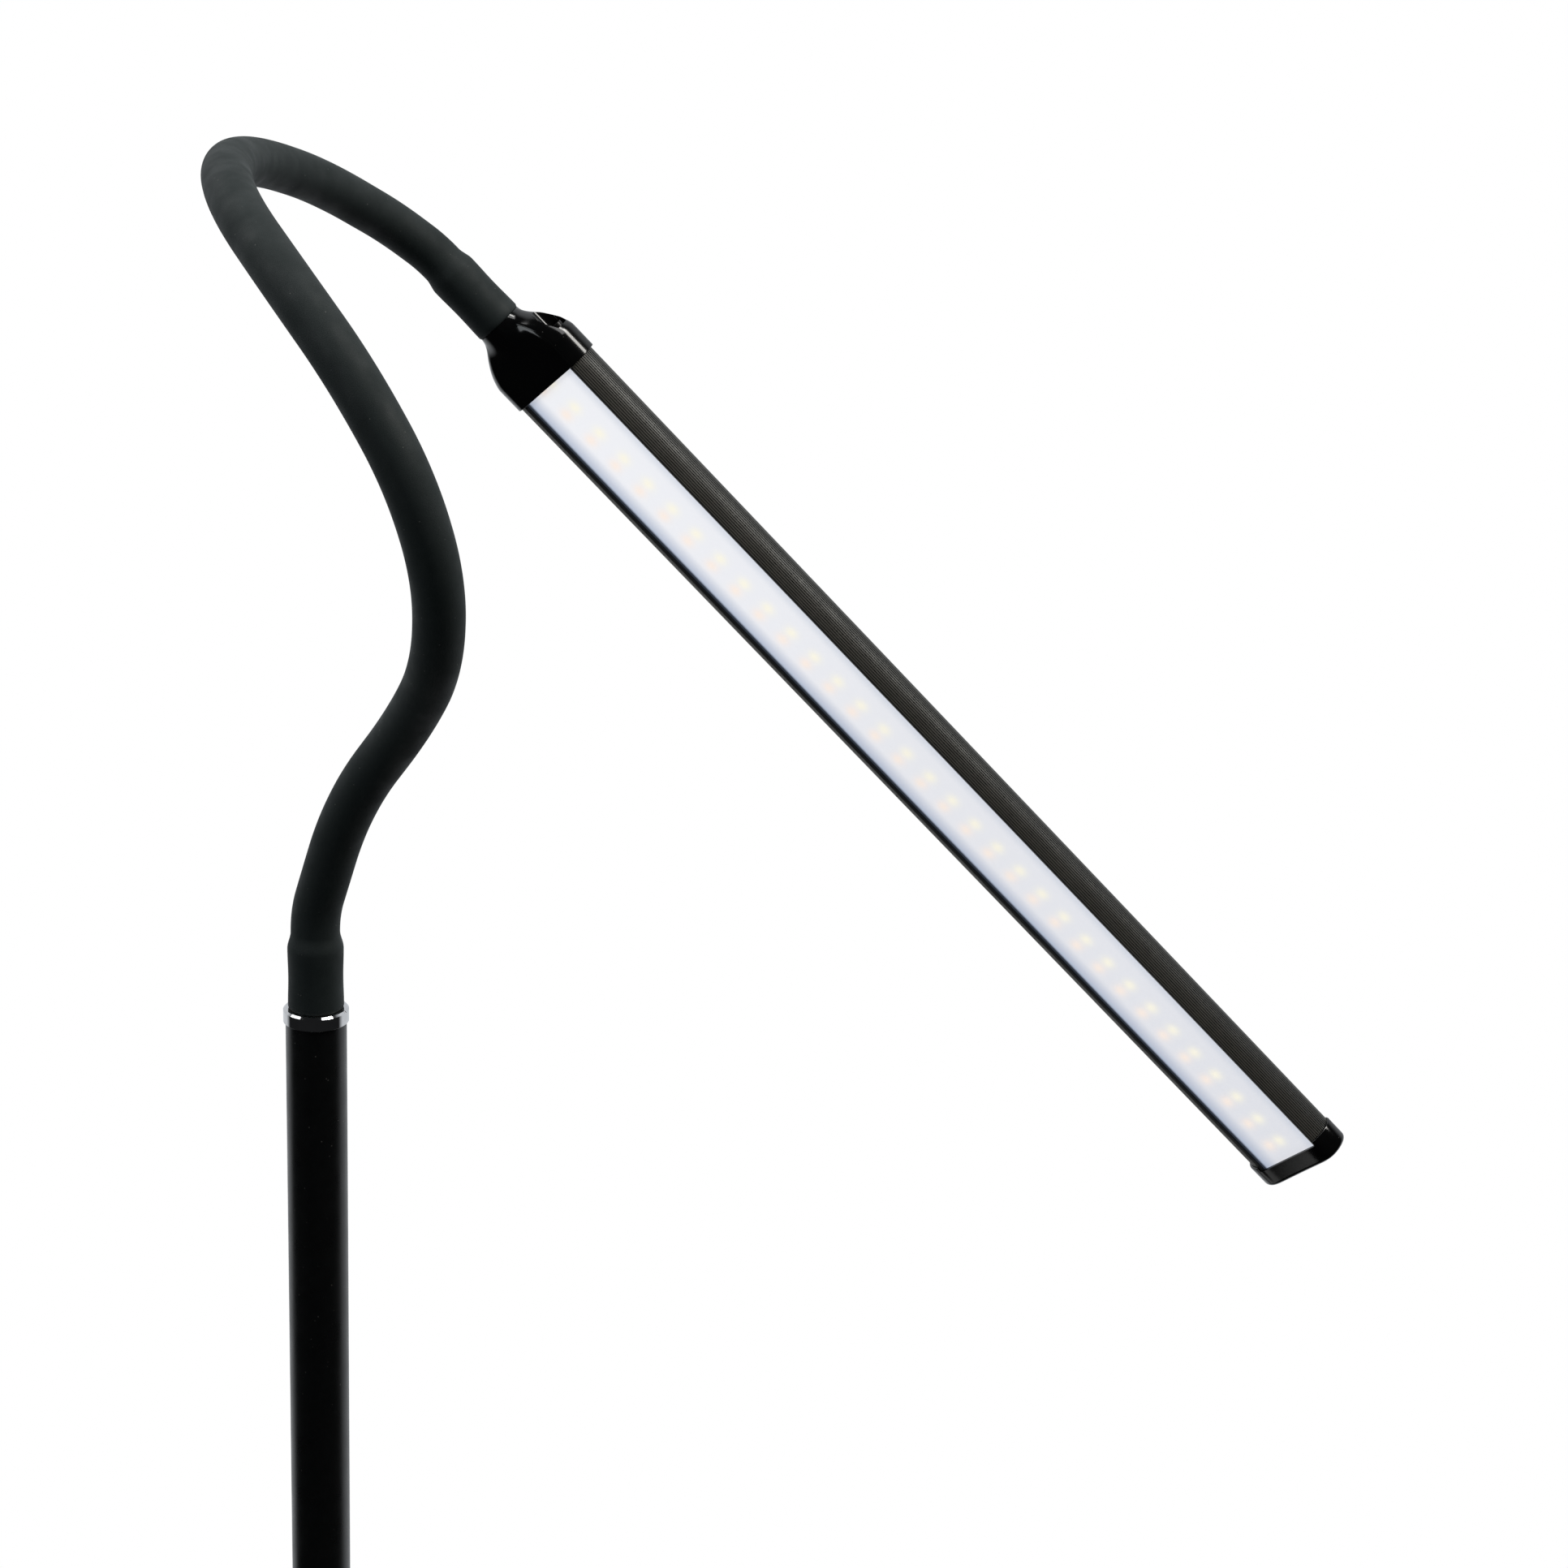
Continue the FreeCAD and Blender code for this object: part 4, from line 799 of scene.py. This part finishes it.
# %% Floor
FLOOR_LEVEL = -0.2
angle, reach = np.meshgrid(np.linspace(0, 2 * np.pi, 96, endpoint=False), [0.01, 150.0, 300.0])
floor_levels = np.full(angle.shape, FLOOR_LEVEL)
floor_points = np.stack([reach * np.cos(angle), reach * np.sin(angle), floor_levels], axis=-1)
floor = grid_object("floor", floor_points)
floor_material, floor_tree, floor_shader = new_material("floor")
floor_place = floor_tree.nodes.new("ShaderNodeTexCoord").outputs["Object"]
floor_mottle = noise(floor_tree, floor_place, 3.0)
floor_colour = mix_colours(floor_tree, floor_mottle, (0.80, 0.80, 0.79), (0.84, 0.84, 0.83))
floor_tree.links.new(floor_colour, floor_shader.inputs["Base Color"])
floor_shader.inputs["Roughness"].default_value = 0.6
floor.data.materials.append(floor_material)
print("floor disc radius mm:", reach.max())

# %% [markdown]
# The surround is white behind the lamp and dim in front of it, as in a studio with a white backdrop: that
# gives the chrome ring its dark band and the black parts their pale edges. The camera itself sees plain
# white.

# %% Surround
ROOM_FRONT, ROOM_BACK, ROOM_COLOUR = 0.015, 0.80, (0.93, 0.965, 1.0, 1)
world = bpy.data.worlds.new("surround")
scene.world = world
world.use_nodes = True
room = world.node_tree
room.nodes.clear()
room_out = room.nodes.new("ShaderNodeOutputWorld")
path = room.nodes.new("ShaderNodeLightPath")
direction = room.nodes.new("ShaderNodeSeparateXYZ")
room.links.new(room.nodes.new("ShaderNodeTexCoord").outputs["Generated"], direction.inputs[0])
soft = room.nodes.new("ShaderNodeBackground")
soft.inputs[0].default_value = ROOM_COLOUR
room.links.new(spread(room, direction.outputs["Y"], ROOM_FRONT, ROOM_BACK, 0.1, 0.4), soft.inputs[1])
white = room.nodes.new("ShaderNodeBackground")
white.inputs[0].default_value = (1, 1, 1, 1)
white.inputs[1].default_value = 1.0
chooser = room.nodes.new("ShaderNodeMixShader")
room.links.new(path.outputs["Is Camera Ray"], chooser.inputs[0])
room.links.new(soft.outputs[0], chooser.inputs[1])
room.links.new(white.outputs[0], chooser.inputs[2])
room.links.new(chooser.outputs[0], room_out.inputs[0])
print("surround strength, front and back:", ROOM_FRONT, ROOM_BACK)

# %% [markdown]
# Five soft rectangles light the lamp. Two narrow ones side by side draw the double highlight on the
# glossy adapter, a broad cool one fills the front, and two from above give the black parts their pale
# upper edges.


# %% Lamps
def area_light(name, position, target, size, power, colour=(1, 1, 1)):
    """A soft rectangle of light at a position, facing a target; its power is in watts."""
    light = bpy.data.lights.new(name, "AREA")
    light.shape = "RECTANGLE"
    light.size, light.size_y = size
    light.energy = power
    light.color = colour
    obj = bpy.data.objects.new(name, light)
    obj.location = position
    toward = Vector(target) - Vector(position)
    obj.rotation_euler = toward.to_track_quat("-Z", "Y").to_euler()
    scene.collection.objects.link(obj)


target = (0.05, 0.05, POLE_TOP * MM + 0.15)
KEY_SIZE, KEY_POWER, KEY_COLOUR = (0.16, 1.5), 11, (1.0, 0.98, 0.94)
area_light("key_left", (1.0, -0.2, 2.55), target, KEY_SIZE, KEY_POWER, KEY_COLOUR)
area_light("key_right", (1.3, -0.1, 2.35), target, KEY_SIZE, KEY_POWER, KEY_COLOUR)
area_light("fill", (-1.6, -1.5, 1.9), target, (1.0, 1.6), 14, (0.92, 0.97, 1.0))
area_light("top_left", (-1.05, 0.2, 2.6), target, (1.2, 1.3), 13)
area_light("top_right", (0.6, -0.25, 2.6), target, (0.6, 1.0), 6)
print("lamps face:", [round(v, 3) for v in target])

# %% [markdown]
# ## Camera
#
# The camera stands where the photograph was taken, found by matching the pole, the ring and the bar's
# edges. Its focal length is in pixels of the photograph there, so it is turned into millimetres on a 36
# mm sensor.

# %% Camera
LENS_PIXELS, PICTURE_PIXELS, SENSOR = 3600.0, 1932.0, 36.0
camera_data = bpy.data.cameras.new("photo_camera")
camera_data.sensor_width = SENSOR
camera_data.lens = SENSOR * LENS_PIXELS / PICTURE_PIXELS
camera_data.clip_start, camera_data.clip_end = 0.05, 20.0
camera = bpy.data.objects.new("photo_camera", camera_data)
right = Vector((0.99919, 0.01249, 0.0395)).normalized()
ahead = Vector((0.0, 0.95346, -0.3015)).normalized()
up = right.cross(ahead).normalized()
ahead = up.cross(right).normalized()
place = Vector((165.9, -982.1, 407.6 + POLE_TOP)) * MM
camera.matrix_world = Matrix((
    (right.x, up.x, -ahead.x, place.x),
    (right.y, up.y, -ahead.y, place.y),
    (right.z, up.z, -ahead.z, place.z),
    (0, 0, 0, 1)))
scene.collection.objects.link(camera)
scene.camera = camera
scene.view_settings.view_transform = "Standard"
print("lens mm:", round(camera_data.lens, 2), "camera at:", [round(v, 4) for v in place])
